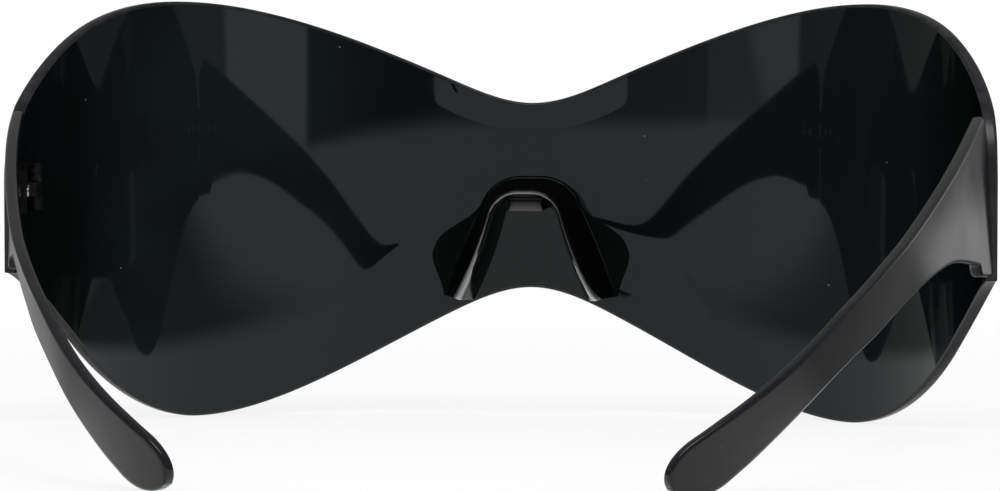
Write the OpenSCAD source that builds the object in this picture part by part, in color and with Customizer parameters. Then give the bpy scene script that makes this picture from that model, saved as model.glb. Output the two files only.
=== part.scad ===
// Shield sunglasses, standing open: one wrap-round butterfly lens from hinge to hinge, a moulded
// nose saddle on its inner face, and two thin arms on small barrel hinges.
// X runs across the wearer's face, Y points forward, Z up. The lens's lobes and the arms' tips
// stand on Z = 0, and Y = 0 is under the middle of the whole. Pieces are drawn upright with their
// Y from the line of the lens's end edges, and standing() leans them and moves them forward.

/* [Lens] */
// Length of the inner face from its centre to an end edge, along the curve
lens_half_arc = 101.6; // [96:0.2:108]
// Radius of the inner face at its centre
lens_centre_r = 102; // [90:1:120]
// Extra turn that the curve has gained at the end edge, in degrees
lens_extra_turn = 29.5; // [22:0.5:36]
// Thickness
lens_t = 2; // [1.6:0.1:2.6]
// Bevel along all edges
lens_bevel = 0.45; // [0.2:0.05:0.7]
// Height of the upper edge at the centre
pinch_top = 50.1; // [46:0.1:56]
// Height of the lower edge at the centre
pinch_low = 20; // [14:0.1:24]
// Distance from the centre of the straight flanks beside the pinch
flank_at = 14; // [12:0.5:17]
// Rise of the upper edge from the centre to the flanks
flank_rise = 4.3; // [3:0.1:6]
// Drop of the lower edge from the centre to the flanks
flank_drop = 4.6; // [3:0.1:6]
// Slopes of the upper and the lower edge at the flanks
flank_slopes = [0.444, -0.5]; // [-1:0.01:1]
// Height of the upper edge at the top of a lobe
lobe_top = 67.1; // [60:0.1:74]
// Distance of the top of a lobe from the centre, along the curve
lobe_top_at = 60; // [56:0.5:64]
// Distance of the bottom of a lobe from the centre, along the curve
lobe_low_at = 55.5; // [52:0.5:60]
// Distance from the centre of the shoulders outside the lobes
shoulder_at = 80; // [76:0.5:84]
// Drop of the upper edge from the top of a lobe to the shoulder
shoulder_drop = 4.7; // [3:0.1:7]
// Rise of the lower edge from the bottom of a lobe to the shoulder
shoulder_rise = 12.9; // [9:0.1:15]
// Slopes of the upper and the lower edge at the shoulders
shoulder_slopes = [-0.513, 0.948]; // [-1:0.01:1]
// Height at which the upper edge would reach the end without its rounded corner
end_top = 48.1; // [45:0.1:52]
// Height of the lower corner of an end edge
end_low = 26; // [24:0.1:30]
// Slopes of the upper and the lower edge at the ends
end_slopes = [-0.72, 0.12]; // [-1:0.01:1]
// Length of the rounded upper corner of an end edge
end_round_l = 6; // [3:0.5:9]
// Height of the rounded upper corner of an end edge
end_round_h = 7; // [3:0.5:9]

/* [Nose saddle] */
// How far the wearer's edge stands off the lens
saddle_h = 12.3; // [9:0.1:15]
// Height of the top of the bridge, at the lens
saddle_top = 38; // [36:0.1:42]
// Drop of the bridge from the lens to the wearer's edge
saddle_drop = 1.2; // [0.5:0.1:2.5]
// Height of the bridge's underside
saddle_under = 33.1; // [31:0.1:35]
// Height of the legs' lower ends
saddle_low = 18.2; // [17.5:0.1:22]
// Half flat and shoulder radius of the wearer's edge
edge_bend = [1, 5]; // [0.5:0.1:8]
// Half flat and shoulder radius of the outer root on the lens
root_bend = [1.8, 6.5]; // [0.5:0.1:8]
// Half flat and shoulder radius of the inner wall
inner_bend = [2.8, 1.4]; // [0.5:0.1:8]
// Lean of the wearer's edge at the shoulder and at the leg's end, in degrees
edge_lean = [16, 29]; // [5:1:40]
// Lean of the outer root at the shoulder and at the leg's end, in degrees
root_lean = [26, 18]; // [5:1:40]
// Lean of the inner wall at the shoulder and at the leg's end, in degrees
inner_lean = [13, 27]; // [5:1:40]
// Height of the ends of these three lines above the legs' lower ends
line_lifts = [0.4, 0.5, -0.3]; // [-1:0.1:1]
// Thickness of the wearer's edge at the bridge
saddle_edge_t = 0.65; // [0.5:0.05:1.2]
// Thickness of the wearer's edge at the legs' lower ends
saddle_tongue_t = 1.5; // [1.2:0.05:2.6]
// How deep the wearer's lip stands free of the bridge's thick part
saddle_lip = 3; // [1:0.1:4]
// Share of the thick part's height that the step under the lip takes
saddle_step_share = 0.67; // [0.4:0.01:0.8]
// Share of a leg after which its lower end is rounded
leg_round_share = 0.6; // [0.4:0.05:0.9]
// Share of the standing height that is left at a leg's lower end
leg_end_share = 0.5; // [0.3:0.05:0.8]
// Thickness of the bonding wings
wing_t = 0.7; // [0.5:0.05:1.2]
// Reach of the wings beyond the legs' roots, at their widest
wing_reach = 4.1; // [2:0.1:5]
// Shares of a leg at which a wing starts, is at its widest, begins to narrow and has ended
wing_shares = [0.05, 0.55, 0.62, 1.04]; // [0:0.01:1.2]
// Gap between the saddle or a hinge plate and the lens or arm, filled by the bond
bond_gap = 0.02; // [0.01:0.01:0.1]

/* [Arms] */
// How far back the arms' tips reach
arm_back = 113.1; // [105:0.1:122]
// Thickness of the arm
arm_t = 1.9; // [1.6:0.1:2.4]
// Rounding of the arm's edges
arm_round = 0.55; // [0.3:0.05:0.8]
// How far the arm's middle lies inside the lens's inner face, at the hinge
arm_inset = 0.19; // [0:0.01:0.5]
// Distances behind the end edge of the arm's bow and of its bend, in plan
arm_bow_at = [40, 80]; // [30:1:90]
// How far the arm has drawn in at the bow and at the bend
arm_bow_in = [6.8, 18]; // [4:0.1:24]
// How far the arm has drawn in at the tip
arm_tip_in = 40.25; // [30:0.05:46]
// Inward slopes of the arm at the hinge, the bow, the bend and the tip
arm_in_slopes = [0.13, 0.211, 0.384, 1.247]; // [0:0.001:1.5]
// Distances behind the end edge of the arm's broad part and of its neck
arm_neck_at = [30, 60]; // [20:1:70]
// Height of the upper edge at the hinge, without its rounded corner
arm_top_z = 52.4; // [50:0.1:56]
// Heights of the upper edge at the broad part and at the neck
arm_neck_top = [45.1, 36.3]; // [30:0.1:50]
// Height of the upper edge at the tip
arm_tip_top = 9.4; // [6:0.1:14]
// Falls of the upper edge at the hinge, the broad part, the neck and the tip
arm_top_falls = [0.165, 0.283, 0.307, 0.786]; // [0:0.001:1]
// Height of the arch behind the foot
arch_z = 28.3; // [28:0.1:32]
// Heights of the lower edge at the broad part and at the neck
arm_neck_low = [30.5, 25.1]; // [20:0.1:34]
// Height of the lower edge at the tip
arm_tip_low = 2.5; // [0:0.1:6]
// Falls of the lower edge at the hinge, the broad part, the neck and the tip
arm_low_falls = [-0.021, 0.068, 0.286, 0.867]; // [-0.2:0.001:1]
// Lean of the upper edge inwards at the hinge, in degrees
arm_lean = 3; // [0:0.5:5]
// Lean of the upper edge outwards behind the neck, in degrees
arm_splay = 12.7; // [0:0.1:14]
// Swing of both arms towards the right, as they stand open, in degrees
arm_swing = 0.5; // [0:0.1:1]
// Gap between the arm's front edge and the lens's end edge
arm_gap = 0.25; // [0.2:0.05:0.4]
// Length of the rounded upper front corner
arm_corner_l = 5; // [2:0.5:8]
// Height of the rounded upper front corner
arm_corner_h = 6; // [2:0.5:8]
// Depth of the foot below the arch
foot_h = 1.6; // [1:0.1:4]
// Length of the foot
foot_l = 8.2; // [5:0.1:10]
// Length over which the foot rises to the arch
foot_ease = 2; // [1:0.1:4]
// Length of the rounding at the tip
tip_round = 4.7; // [3:0.1:8]
// Share of the arm's height that is left at the tip's very end
tip_blunt_share = 0.08; // [0.05:0.01:0.3]
// How far the tip's end is turned square to its fall, as a slope
tip_skew = 0.7; // [0:0.01:0.8]
// Distance behind the end edge at which this turn starts, and its run
tip_skew_at = [75, 30]; // [10:1:90]

/* [Hinges] */
// Height of the middle of the hinge
hinge_z = 39.4; // [37:0.1:42]
// Distance of the hinge's axis from the lens's inner face at its end edge
hinge_in = 3.2; // [3:0.05:3.8]
// Distance of the hinge's axis behind the end edge
hinge_back = 1.6; // [1.4:0.05:2]
// Radius of the knuckles
knuckle_r = 1.2; // [1.1:0.05:1.4]
// Height of the middle knuckle
knuckle_mid = 2.2; // [1.8:0.1:2.6]
// Height of each outer knuckle
knuckle_end = 2.1; // [1.6:0.1:2.6]
// Gap between knuckles
knuckle_gap = 0.15; // [0.1:0.05:0.2]
// Radius of the hinge screw's shank
pin_r = 0.55; // [0.45:0.05:0.6]
// Radial clearance of the hinge screw
pin_fit = 0.04; // [0.02:0.01:0.08]
// Radius of the hinge screw's head
pin_head_r = 1; // [0.8:0.05:1.1]
// Height of the hinge screw's head
pin_head_h = 0.5; // [0.4:0.05:0.7]
// Thickness of the hinge plates
plate_t = 0.8; // [0.6:0.05:0.9]
// Length of the hinge plates
plate_l = 8.6; // [8:0.1:10]
// Height of the hinge plates
plate_h = 6.8; // [6.4:0.1:8]
// Bevel of the hinge plates' edges
plate_bevel = 0.15; // [0.1:0.05:0.3]
// Distance of the base plate from the lens's end edge
base_margin = 0.9; // [0.5:0.1:2]
// Distance of the leaf plate behind the lens's end edge
leaf_margin = 2.6; // [2:0.1:4]
// Breadths of the necks from the base plate and the leaf plate to their knuckles
neck_w = [3.2, 2.4]; // [2:0.1:4]
// Distance of the necks' roots from the plates' near ends
neck_margin = 0.4; // [0.2:0.1:1]
// How far the necks' sides lie inside the knuckles' sides
neck_in = 0.05; // [0.02:0.01:0.2]
// Ease of the necks' outer sides beside the knuckles
neck_ease = 0.5; // [0.2:0.1:0.8]
// Length of that ease
neck_ease_l = 2.4; // [1.8:0.1:3]
// Radius of the small screws' shanks
screw_r = 0.5; // [0.4:0.05:0.55]
// Depth of the small screws below the plates
screw_depth = 1.2; // [1:0.05:1.3]
// Radius of the small screws' heads
screw_head_r = 0.85; // [0.7:0.05:1]
// Height of the small screws' heads
screw_head_h = 0.4; // [0.3:0.05:0.5]
// Radial clearance of the small screws
screw_fit = 0.03; // [0.02:0.01:0.06]
// Clearance under the screws' heads and past their ends
screw_seat = 0.03; // [0.01:0.01:0.1]
// Spacing of the two small screws in a plate
screw_pitch = 3.6; // [3.2:0.1:4.2]
// How far the pair of small screws lies off the plate's middle, away from the knuckles
screw_off = 1.2; // [0.6:0.1:1.6]
// Width of the screws' slots
slot_w = 0.22; // [0.15:0.01:0.3]

/* [Standing] */
// Lean of the whole towards the wearer, so that the arms' tips stand down, in degrees
stand_lean = 1.8; // [0:0.02:3]
// How far the end edges stand in front of the middle of the whole
stand_forward = 30; // [20:0.1:40]

/* [Hidden] */
$fn = 40;
deg = 180 / PI;
// How far cuts run past the faces that they open
over = 1;

// Curves through nodes of [place, height, slope], with straight runs past the ends.
function segment(nodes, x, i = 0) =
    i >= len(nodes) - 2 || x < nodes[i + 1][0] ? i : segment(nodes, x, i + 1);
function blend(a, b, t, h) =
    a[1] * (2 * pow(t, 3) - 3 * pow(t, 2) + 1) + b[1] * (3 * pow(t, 2) - 2 * pow(t, 3))
    + h * a[2] * (pow(t, 3) - 2 * pow(t, 2) + t) + h * b[2] * (pow(t, 3) - pow(t, 2));
function curve(nodes, x) =
    let (i = segment(nodes, x), a = nodes[i], b = nodes[i + 1], h = b[0] - a[0])
    blend(a, b, (x - a[0]) / h, h);
function smooth(t) = let (c = min(1, max(0, t))) c * c * (3 - 2 * c);

// Walk along a plan curve: each point is [x, y], from a heading function's values at mid steps.
function walk(headings, step, start) =
    [for (i = 0, p = start; i <= len(headings);
          p = i < len(headings) ? p + step * [cos(headings[i]), -sin(headings[i])] : p, i = i + 1) p];
function along(points, step, s) =
    let (i = min(len(points) - 2, max(0, floor(s / step))), f = s / step - i)
    points[i] * (1 - f) + points[i + 1] * f;

// Plan curve of the lens's inner face, from the centre to the end edge.
lens_steps = 52;
lens_step = lens_half_arc / lens_steps;
function lens_heading(s) = s / lens_centre_r * deg + lens_extra_turn * pow(s / lens_half_arc, 3);
lens_walk = walk([for (i = [0:lens_steps - 1]) lens_heading((i + 0.5) * lens_step)], lens_step, [0, 0]);
lens_depth = -lens_walk[lens_steps][1];
lens_end_x = lens_walk[lens_steps][0];
function side(s) = s < 0 ? -1 : 1;
// A point of the lens: s along the inner face, d through it towards the front, z up.
function lens_point(s, d, z) =
    let (a = abs(s), p = along(lens_walk, lens_step, a), h = lens_heading(a))
    [side(s) * (p[0] + d * sin(h)), p[1] + lens_depth + d * cos(h), z];

// Outline of the lens, unrolled: nodes of [distance from the centre, height, slope].
upper_edge = [
    [0, pinch_top, 0], [flank_at, pinch_top + flank_rise, flank_slopes[0]], [lobe_top_at, lobe_top, 0],
    [shoulder_at, lobe_top - shoulder_drop, shoulder_slopes[0]], [lens_half_arc, end_top, end_slopes[0]]
];
lower_edge = [
    [0, pinch_low, 0], [flank_at, pinch_low - flank_drop, flank_slopes[1]], [lobe_low_at, 0, 0],
    [shoulder_at, shoulder_rise, shoulder_slopes[1]], [lens_half_arc, end_low, end_slopes[1]]
];
// Drop of an elliptic corner of length l and height h, at u past its start.
function corner(l, h, u) = let (q = min(1, max(0, u / l))) h * (1 - sqrt(1 - q * q));
function lens_top(s) =
    curve(upper_edge, abs(s)) - corner(end_round_l, end_round_h, abs(s) - lens_half_arc + end_round_l);
function lens_low(s) = curve(lower_edge, abs(s));

// Skin over a row of rings that all have the same number of points.
module loft(rings) {
    n = len(rings[0]);
    m = len(rings);
    walls = [for (i = [0:m - 2], j = [0:n - 1]) let (a = i * n + j, b = i * n + (j + 1) % n)
        each [[a, b, b + n], [a, b + n, a + n]]];
    caps = [[for (j = [n - 1:-1:0]) j], [for (j = [0:n - 1]) (m - 1) * n + j]];
    polyhedron(points = [for (r = rings) each r], faces = concat(walls, caps), convexity = 6);
}

// Upright section of a sheet: from d0 to d1 through it, from z0 to z1 up, with bevelled corners.
function sheet_section(d0, d1, z0, z1, b) = [
    [d0, z0 + b], [d0, z1 - b], [d0 + b, z1], [d1 - b, z1],
    [d1, z1 - b], [d1, z0 + b], [d1 - b, z0], [d0 + b, z0]
];

// Puts its children at a point of the lens's inner face, with their Z axis out of the face
// towards the wearer.
module on_lens(s, z) {
    translate(lens_point(s, 0, z)) rotate([0, 0, -lens_heading(s)]) rotate([90, 0, 0]) children();
}

// Lines of the arm: nodes of [distance behind the end edge, value, slope], in plan and for the
// upper and lower edges.
arm_steps = 64;
arm_front_x = lens_end_x - arm_inset;
arm_plan = [
    [0, arm_front_x, -arm_in_slopes[0]],
    [arm_bow_at[0], arm_front_x - arm_bow_in[0], -arm_in_slopes[1]],
    [arm_bow_at[1], arm_front_x - arm_bow_in[1], -arm_in_slopes[2]],
    [arm_back, arm_front_x - arm_tip_in, -arm_in_slopes[3]]
];
arm_upper = [
    [0, arm_top_z, -arm_top_falls[0]], [arm_neck_at[0], arm_neck_top[0], -arm_top_falls[1]],
    [arm_neck_at[1], arm_neck_top[1], -arm_top_falls[2]], [arm_back, arm_tip_top, -arm_top_falls[3]]
];
arm_lower = [
    [0, arch_z, -arm_low_falls[0]], [arm_neck_at[0], arm_neck_low[0], -arm_low_falls[1]],
    [arm_neck_at[1], arm_neck_low[1], -arm_low_falls[2]], [arm_back, arm_tip_low, -arm_low_falls[3]]
];
function slope(nodes, t, e = 0.01) = (curve(nodes, t + e) - curve(nodes, t - e)) / (2 * e);
function arm_heading(t) = -atan(slope(arm_plan, t));
function foot(t) = foot_h * (1 - smooth((t - foot_l) / foot_ease + 0.5));
// The tip closes on an ellipse.
function tip_share(t) = let (q = min(1, max(0, t - arm_back + tip_round) / tip_round)) sqrt(1 - q * q);
function arm_mid(t) = (curve(arm_upper, t) + curve(arm_lower, t)) / 2;
function arm_half(t) = (curve(arm_upper, t) - curve(arm_lower, t)) / 2 * max(tip_blunt_share, tip_share(t));
function arm_top(t) =
    arm_mid(t) + arm_half(t) - corner(arm_corner_l, arm_corner_h, arm_corner_l - t + arm_gap);
function arm_low(t) = arm_mid(t) - arm_half(t) - foot(t);
function lean(t) = arm_lean - (arm_lean + arm_splay) * min(1, t / arm_neck_at[1]);
function skew(t) = tip_skew * min(1, max(0, (t - tip_skew_at[0]) / tip_skew_at[1]));
// A point of the arm: t behind the end edge, d through it towards the outside, z up.
function arm_point(t, d, z) =
    let (w = t + (z - arm_mid(t)) * skew(t), h = arm_heading(w), e = d - (z - arm_mid(t)) * tan(lean(t)))
    [curve(arm_plan, w) + e * cos(h), -w - e * sin(h), z];
// Stations closer together at the foot and at the tip.
function arm_station(i) = arm_gap + (arm_back - arm_gap) * (1 - cos(180 * i / arm_steps)) / 2;
function round_section(d, z0, z1, r) = let (q = min(r, (z1 - z0) / 2.2)) [
    for (c = [[-d + r, z0 + q, 180], [-d + r, z1 - q, 90], [d - r, z1 - q, 0], [d - r, z0 + q, -90]],
         a = [90, 45, 0]) [c[0] + r * cos(c[2] + a), c[1] + q * sin(c[2] + a)]
];

// Puts its children at a point of the arm's inner face, with their Z axis out of the face.
module on_arm(t, z) {
    translate(arm_point(t, -arm_t / 2, z)) rotate([0, 0, -arm_heading(t)])
        rotate([0, -90 - lean(t), 0]) children();
}

// Hinge: its axis stands upright beside the end edge. The two plates lie flat on the lens and on
// the arm, and a neck joins each to its knuckles.
axis_x = lens_end_x - hinge_in;
axis_y = -hinge_back;
hinge_h = knuckle_mid + 2 * (knuckle_gap + knuckle_end);
knuckle_low = hinge_z - hinge_h / 2;
plate_low = hinge_z - plate_h / 2;
plate_high = hinge_z + plate_h / 2;
plate_steps = 4;
base_to = lens_half_arc - base_margin;
base_from = base_to - plate_l;
leaf_from = leaf_margin;
leaf_to = leaf_from + plate_l;
base_screw_at = [for (k = [-0.5, 0.5]) (base_from + base_to) / 2 - screw_off + k * screw_pitch];
leaf_screw_at = [for (k = [-0.5, 0.5]) (leaf_from + leaf_to) / 2 + screw_off + k * screw_pitch];

module knuckle(z, h) {
    translate([axis_x, axis_y, z]) cylinder(r = knuckle_r, h = h);
}

module pin_bore() {
    translate([axis_x, axis_y, knuckle_low - over]) cylinder(r = pin_r + pin_fit, h = hinge_h + 2 * over);
}

// Holes for the small screws, through a plate and into what lies under it.
module screw_hole() {
    translate([0, 0, -screw_depth]) cylinder(r = screw_r + screw_fit, h = screw_depth + plate_t + over);
}

module lens_plate() {
    loft([for (i = [0:plate_steps]) let (s = base_from + plate_l * i / plate_steps)
        [for (p = sheet_section(-plate_t, -bond_gap, plate_low, plate_high, plate_bevel))
            lens_point(s, p[0], p[1])]]);
}

module arm_plate() {
    loft([for (i = [0:plate_steps]) let (t = leaf_from + plate_l * i / plate_steps)
        [for (p = sheet_section(-arm_t / 2 - plate_t, -arm_t / 2 - bond_gap, plate_low, plate_high,
                                plate_bevel)) arm_point(t, p[0], p[1])]]);
}

// Neck between two points of a plate and a knuckle, on the side of it that k names.
module neck(root_near, root_far, k, z, h) {
    r = knuckle_r - neck_in;
    translate([0, 0, z]) linear_extrude(height = h) polygon([
        [axis_x - r, axis_y], [axis_x - r + neck_ease, axis_y + k * neck_ease_l],
        [root_far[0], root_far[1]], [root_near[0], root_near[1]],
        [axis_x + r, axis_y + k * hinge_back / 2], [axis_x + r, axis_y]
    ]);
}

module hinge_base() {
    near = lens_point(base_to - neck_margin, -plate_t / 2, 0);
    far = lens_point(base_to - neck_margin - neck_w[0], -plate_t / 2, 0);
    color("dimgray") difference() {
        union() {
            lens_plate();
            for (z = [knuckle_low, knuckle_low + hinge_h - knuckle_end]) {
                knuckle(z, knuckle_end);
                neck(near, far, 1, z, knuckle_end);
            }
        }
        pin_bore();
        for (s = base_screw_at) on_lens(s, hinge_z) screw_hole();
    }
}

module hinge_leaf() {
    mid = hinge_z - knuckle_mid / 2;
    near = arm_point(leaf_from + neck_margin, -(arm_t + plate_t) / 2, hinge_z);
    far = arm_point(leaf_from + neck_margin + neck_w[1], -(arm_t + plate_t) / 2, hinge_z);
    color("dimgray") difference() {
        union() {
            arm_plate();
            knuckle(mid, knuckle_mid);
            neck(near, far, -1, mid, knuckle_mid);
        }
        pin_bore();
        for (t = leaf_screw_at) on_arm(t, hinge_z) screw_hole();
    }
}

// Slotted screw head of radius r and height h, on its shank.
module slotted_head(r, h) {
    difference() {
        cylinder(r = r, h = h);
        translate([-r - over, -slot_w / 2, h / 2]) cube([2 * (r + over), slot_w, h]);
    }
}

module small_screw() {
    translate([0, 0, screw_seat - screw_depth]) cylinder(r = screw_r, h = screw_depth + plate_t);
    translate([0, 0, plate_t + screw_seat]) slotted_head(screw_head_r, screw_head_h);
}

module base_screws() {
    color("silver") for (s = base_screw_at) on_lens(s, hinge_z) small_screw();
}

module leaf_screws() {
    color("silver") for (t = leaf_screw_at) on_arm(t, hinge_z) small_screw();
}

module hinge_screw() {
    color("silver") translate([axis_x, axis_y, knuckle_low]) {
        cylinder(r = pin_r, h = hinge_h + screw_seat);
        translate([0, 0, hinge_h + screw_seat]) slotted_head(pin_head_r, pin_head_h);
    }
}

module arm() {
    color("silver") difference() {
        loft([for (i = [0:arm_steps]) let (t = arm_station(i))
            [for (p = round_section(arm_t / 2, arm_low(t), arm_top(t), arm_round))
                arm_point(t, p[0], p[1])]]);
        for (t = leaf_screw_at) on_arm(t, hinge_z) screw_hole();
    }
}

module shield_lens() {
    color([0.16, 0.18, 0.19]) difference() {
        loft([for (i = [-lens_steps:lens_steps]) let (s = i * lens_step)
            [for (p = sheet_section(0, lens_t, lens_low(s), lens_top(s), lens_bevel))
                lens_point(s, p[0], p[1])]]);
        for (m = [0, 1]) mirror([m, 0, 0]) for (s = base_screw_at) on_lens(s, hinge_z) screw_hole();
    }
}

// The saddle follows a U: a flat bridge, a shoulder arc and a leg that leans out on an arc of its
// own. Each line of it is such a U: [half flat, shoulder radius, lean at the shoulder, lean at the
// end, top, lower end]. Along it w runs over 0 to 1 for the flat, to 2 for the arc, to 3 for the leg.
function u_point(u, w) =
    let (a = abs(w), k = side(w), b = min(1, max(0, a - 1)) * (90 - u[2]), c = max(0, a - 2),
         x = min(1, a) * u[0] + u[1] * sin(b), z = u[4] - u[1] * (1 - cos(b)),
         r = (z - u[5]) / (sin(u[3]) - sin(u[2])), n = asin(sin(u[2]) + c * (sin(u[3]) - sin(u[2]))))
    c <= 0 ? [k * x, z] : [k * (x + r * (cos(u[2]) - cos(n))), z - c * (z - u[5])];
edge_u = concat(edge_bend, edge_lean,
    [saddle_top - saddle_drop - saddle_edge_t / 2, saddle_low + line_lifts[0]]);
root_u = concat(root_bend, root_lean, [saddle_top, saddle_low + line_lifts[1]]);
inner_u = concat(inner_bend, inner_lean, [saddle_under, saddle_low + line_lifts[2]]);
function share(a, b, x) = smooth((x - a) / (b - a));
function wing(w) = let (c = abs(w) - 2)
    wing_reach * share(wing_shares[0], wing_shares[1], c) * (1 - share(wing_shares[2], wing_shares[3], c));
function edge_t(w) = let (a = share(1, 3, abs(w))) saddle_edge_t * (1 - a) + saddle_tongue_t * a;
// The lower ends are rounded: the standing height falls off over the last of the leg.
function stand(w) =
    let (q = max(0, abs(w) - 2 - leg_round_share) / (1 - leg_round_share), e = leg_end_share)
    saddle_h * (e + (1 - e) * sqrt(max(0, 1 - q * q)));
// The bridge's thick part ends in a step before the lip; past the shoulders the step runs out.
step_run_share = 0.35;
function step_share(w) = 1 - smooth((abs(w) - 1) / step_run_share);
// Outward direction of the U in the upright plane.
leg_out = 70;
function u_out(w) = let (b = min(1, max(0, abs(w) - 1)) * leg_out) [side(w) * sin(b), cos(b)];
// A point of the saddle: x and z, and its height h off the lens's inner face.
function saddle_point(p, h) =
    let (s = asin(p[0] / lens_centre_r) / deg * lens_centre_r) [p[0], lens_point(s, 0, 0)[1] - h, p[1]];
function between(a, b, f) = a + (b - a) * f;
// Slant of the step, rounding of the wearer's edge, foot of the outer wall, and the wing's edge.
step_slant_share = 0.03;
edge_round_share = 0.8;
wall_share = 0.06;
wall_rise = 0.5;
wing_lip = [0.1, 0.15, 0.25];
function saddle_ring(w) =
    let (e = u_point(edge_u, w), r = u_point(root_u, w), i = u_point(inner_u, w), t = edge_t(w) / 2,
         h = stand(w), n = u_out(w), g = wing(w), c = t * edge_round_share, k = step_share(w), in = e - n * t,
         body = 1 - saddle_lip / saddle_h, top = body + step_slant_share)
    [
        saddle_point(i, bond_gap),
        saddle_point(between(i, in, (1 - k) * body), h * body),
        saddle_point(between(i, in, saddle_step_share * k + (1 - k) * top), h * top),
        saddle_point(in, h - c),
        saddle_point(e - n * (t - c), h),
        saddle_point(e + n * (t - c), h),
        saddle_point(e + n * t, h - c),
        saddle_point(between(r, e, wall_share), wing_t + wall_rise),
        saddle_point(r + n * wing_lip[0], wing_t),
        saddle_point(r + n * (wing_lip[1] + g), wing_t * edge_round_share),
        saddle_point(r + n * (wing_lip[2] + g), bond_gap)
    ];
// Stations: closer together towards the legs' lower ends.
leg_steps = 14;
turn_steps = 8;
leg_crowding = 1.3;
leg_stations = [for (i = [0:leg_steps - 1]) 3 - pow(i / leg_steps, leg_crowding)];
turn_stations = [for (i = [turn_steps:-1:1]) 1 + i / turn_steps];
half_stations = concat(leg_stations, turn_stations, [1, 0.5]);
saddle_stations = concat(
    [for (w = half_stations) -w], [0], [for (i = [len(half_stations) - 1:-1:0]) half_stations[i]]
);

module nose_saddle() {
    color([0.05, 0.05, 0.06]) loft([for (w = saddle_stations) saddle_ring(w)]);
}

// Left pieces are the right ones mirrored.
module left() {
    mirror([1, 0, 0]) children();
}

// Turns an arm's pieces about its hinge.
module swung(turn) {
    translate([axis_x, axis_y, 0]) rotate([0, 0, turn]) translate([-axis_x, -axis_y, 0]) children();
}

// Stands the whole on the lens's lobes and the arms' tips.
module standing() {
    drop = lens_point(lobe_low_at, 0, 0)[1] * sin(stand_lean);
    translate([0, stand_forward, -drop]) rotate([stand_lean, 0, 0]) children();
}

standing() shield_lens();
standing() nose_saddle();
standing() left() hinge_base();  // left_hinge_base
standing() left() base_screws();  // left_base_screws
standing() left() hinge_screw();  // left_hinge_screw
standing() left() swung(-arm_swing) arm();  // left_temple
standing() left() swung(-arm_swing) hinge_leaf();  // left_hinge_leaf
standing() left() swung(-arm_swing) leaf_screws();  // left_leaf_screws
standing() hinge_base();  // right_hinge_base
standing() base_screws();  // right_base_screws
standing() hinge_screw();  // right_hinge_screw
standing() swung(arm_swing) arm();  // right_temple
standing() swung(arm_swing) hinge_leaf();  // right_hinge_leaf
standing() swung(arm_swing) leaf_screws();  // right_leaf_screws
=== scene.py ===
"""Shield sunglasses standing open on a pale table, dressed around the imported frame.

Sizes are in millimetres and follow the construction's own formulas. Pieces are drawn upright, with
Y from the line of the lens's end edges, and Posture leans them, moves them forward and turns them
into metres.
"""
from __future__ import annotations

import logging
import math
from dataclasses import dataclass, field
from enum import Enum
from typing import Any, Callable, Sequence, Union

import bpy
import numpy as np
from mathutils import Matrix, Vector

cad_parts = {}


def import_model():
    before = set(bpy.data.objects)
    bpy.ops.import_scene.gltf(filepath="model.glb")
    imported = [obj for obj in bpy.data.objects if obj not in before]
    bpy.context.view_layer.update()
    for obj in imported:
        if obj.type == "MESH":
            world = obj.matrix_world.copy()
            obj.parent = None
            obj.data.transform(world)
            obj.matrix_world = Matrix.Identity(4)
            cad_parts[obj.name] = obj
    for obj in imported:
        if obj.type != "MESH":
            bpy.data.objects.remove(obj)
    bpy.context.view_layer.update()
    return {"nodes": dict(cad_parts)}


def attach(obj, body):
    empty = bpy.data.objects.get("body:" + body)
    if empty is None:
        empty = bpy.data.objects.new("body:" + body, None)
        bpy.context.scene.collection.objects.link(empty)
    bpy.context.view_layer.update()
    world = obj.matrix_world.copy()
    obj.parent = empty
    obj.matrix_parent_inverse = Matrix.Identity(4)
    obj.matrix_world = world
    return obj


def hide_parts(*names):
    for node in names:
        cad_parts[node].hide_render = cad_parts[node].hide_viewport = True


LOG = logging.getLogger("sunglasses")
MM = 0.001
Pair = tuple[float, float]
Triple = tuple[float, float, float]
Colour = tuple[float, float, float, float]
Nodes = Sequence[Sequence[float]]
Faces = list[list[int]]


class Side(Enum):
    """A side of the glasses, as the wearer has it, with the sign of its X."""

    LEFT = -1
    RIGHT = 1

    @property
    def word(self) -> str:
        """The side's name in lower case."""
        return self.name.lower()


class LensFace(Enum):
    """Which part of the lens a face belongs to."""

    INNER = 0
    MIRROR = 1
    EDGE = 2


def smooth(t: Any) -> Any:
    """Ease from 0 to 1 as t runs from 0 to 1."""
    c = np.clip(t, 0, 1)
    return c * c * (3 - 2 * c)


def hermite(nodes: Nodes, x: Any) -> Any:
    """Curve through nodes of (place, value, slope).

    Args:
        nodes: The nodes, in the order of their places.
        x: Places at which the curve is wanted.

    Returns:
        The curve's values there.
    """
    table = np.array(nodes, float)
    i = np.clip(np.searchsorted(table[:, 0], x, "right") - 1, 0, len(table) - 2)
    a, b = table[i], table[i + 1]
    h = b[..., 0] - a[..., 0]
    t = (x - a[..., 0]) / h
    return (a[..., 1] * (2 * t**3 - 3 * t**2 + 1) + b[..., 1] * (3 * t**2 - 2 * t**3)
            + h * a[..., 2] * (t**3 - 2 * t**2 + t) + h * b[..., 2] * (t**3 - t**2))


def corner(length: float, height: float, u: Any) -> Any:
    """Drop of an elliptic corner.

    Args:
        length: The corner's length.
        height: The corner's height.
        u: Distance past the corner's start.

    Returns:
        The drop there.
    """
    q = np.clip(u / length, 0, 1)
    return height * (1 - np.sqrt(1 - q * q))


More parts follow.
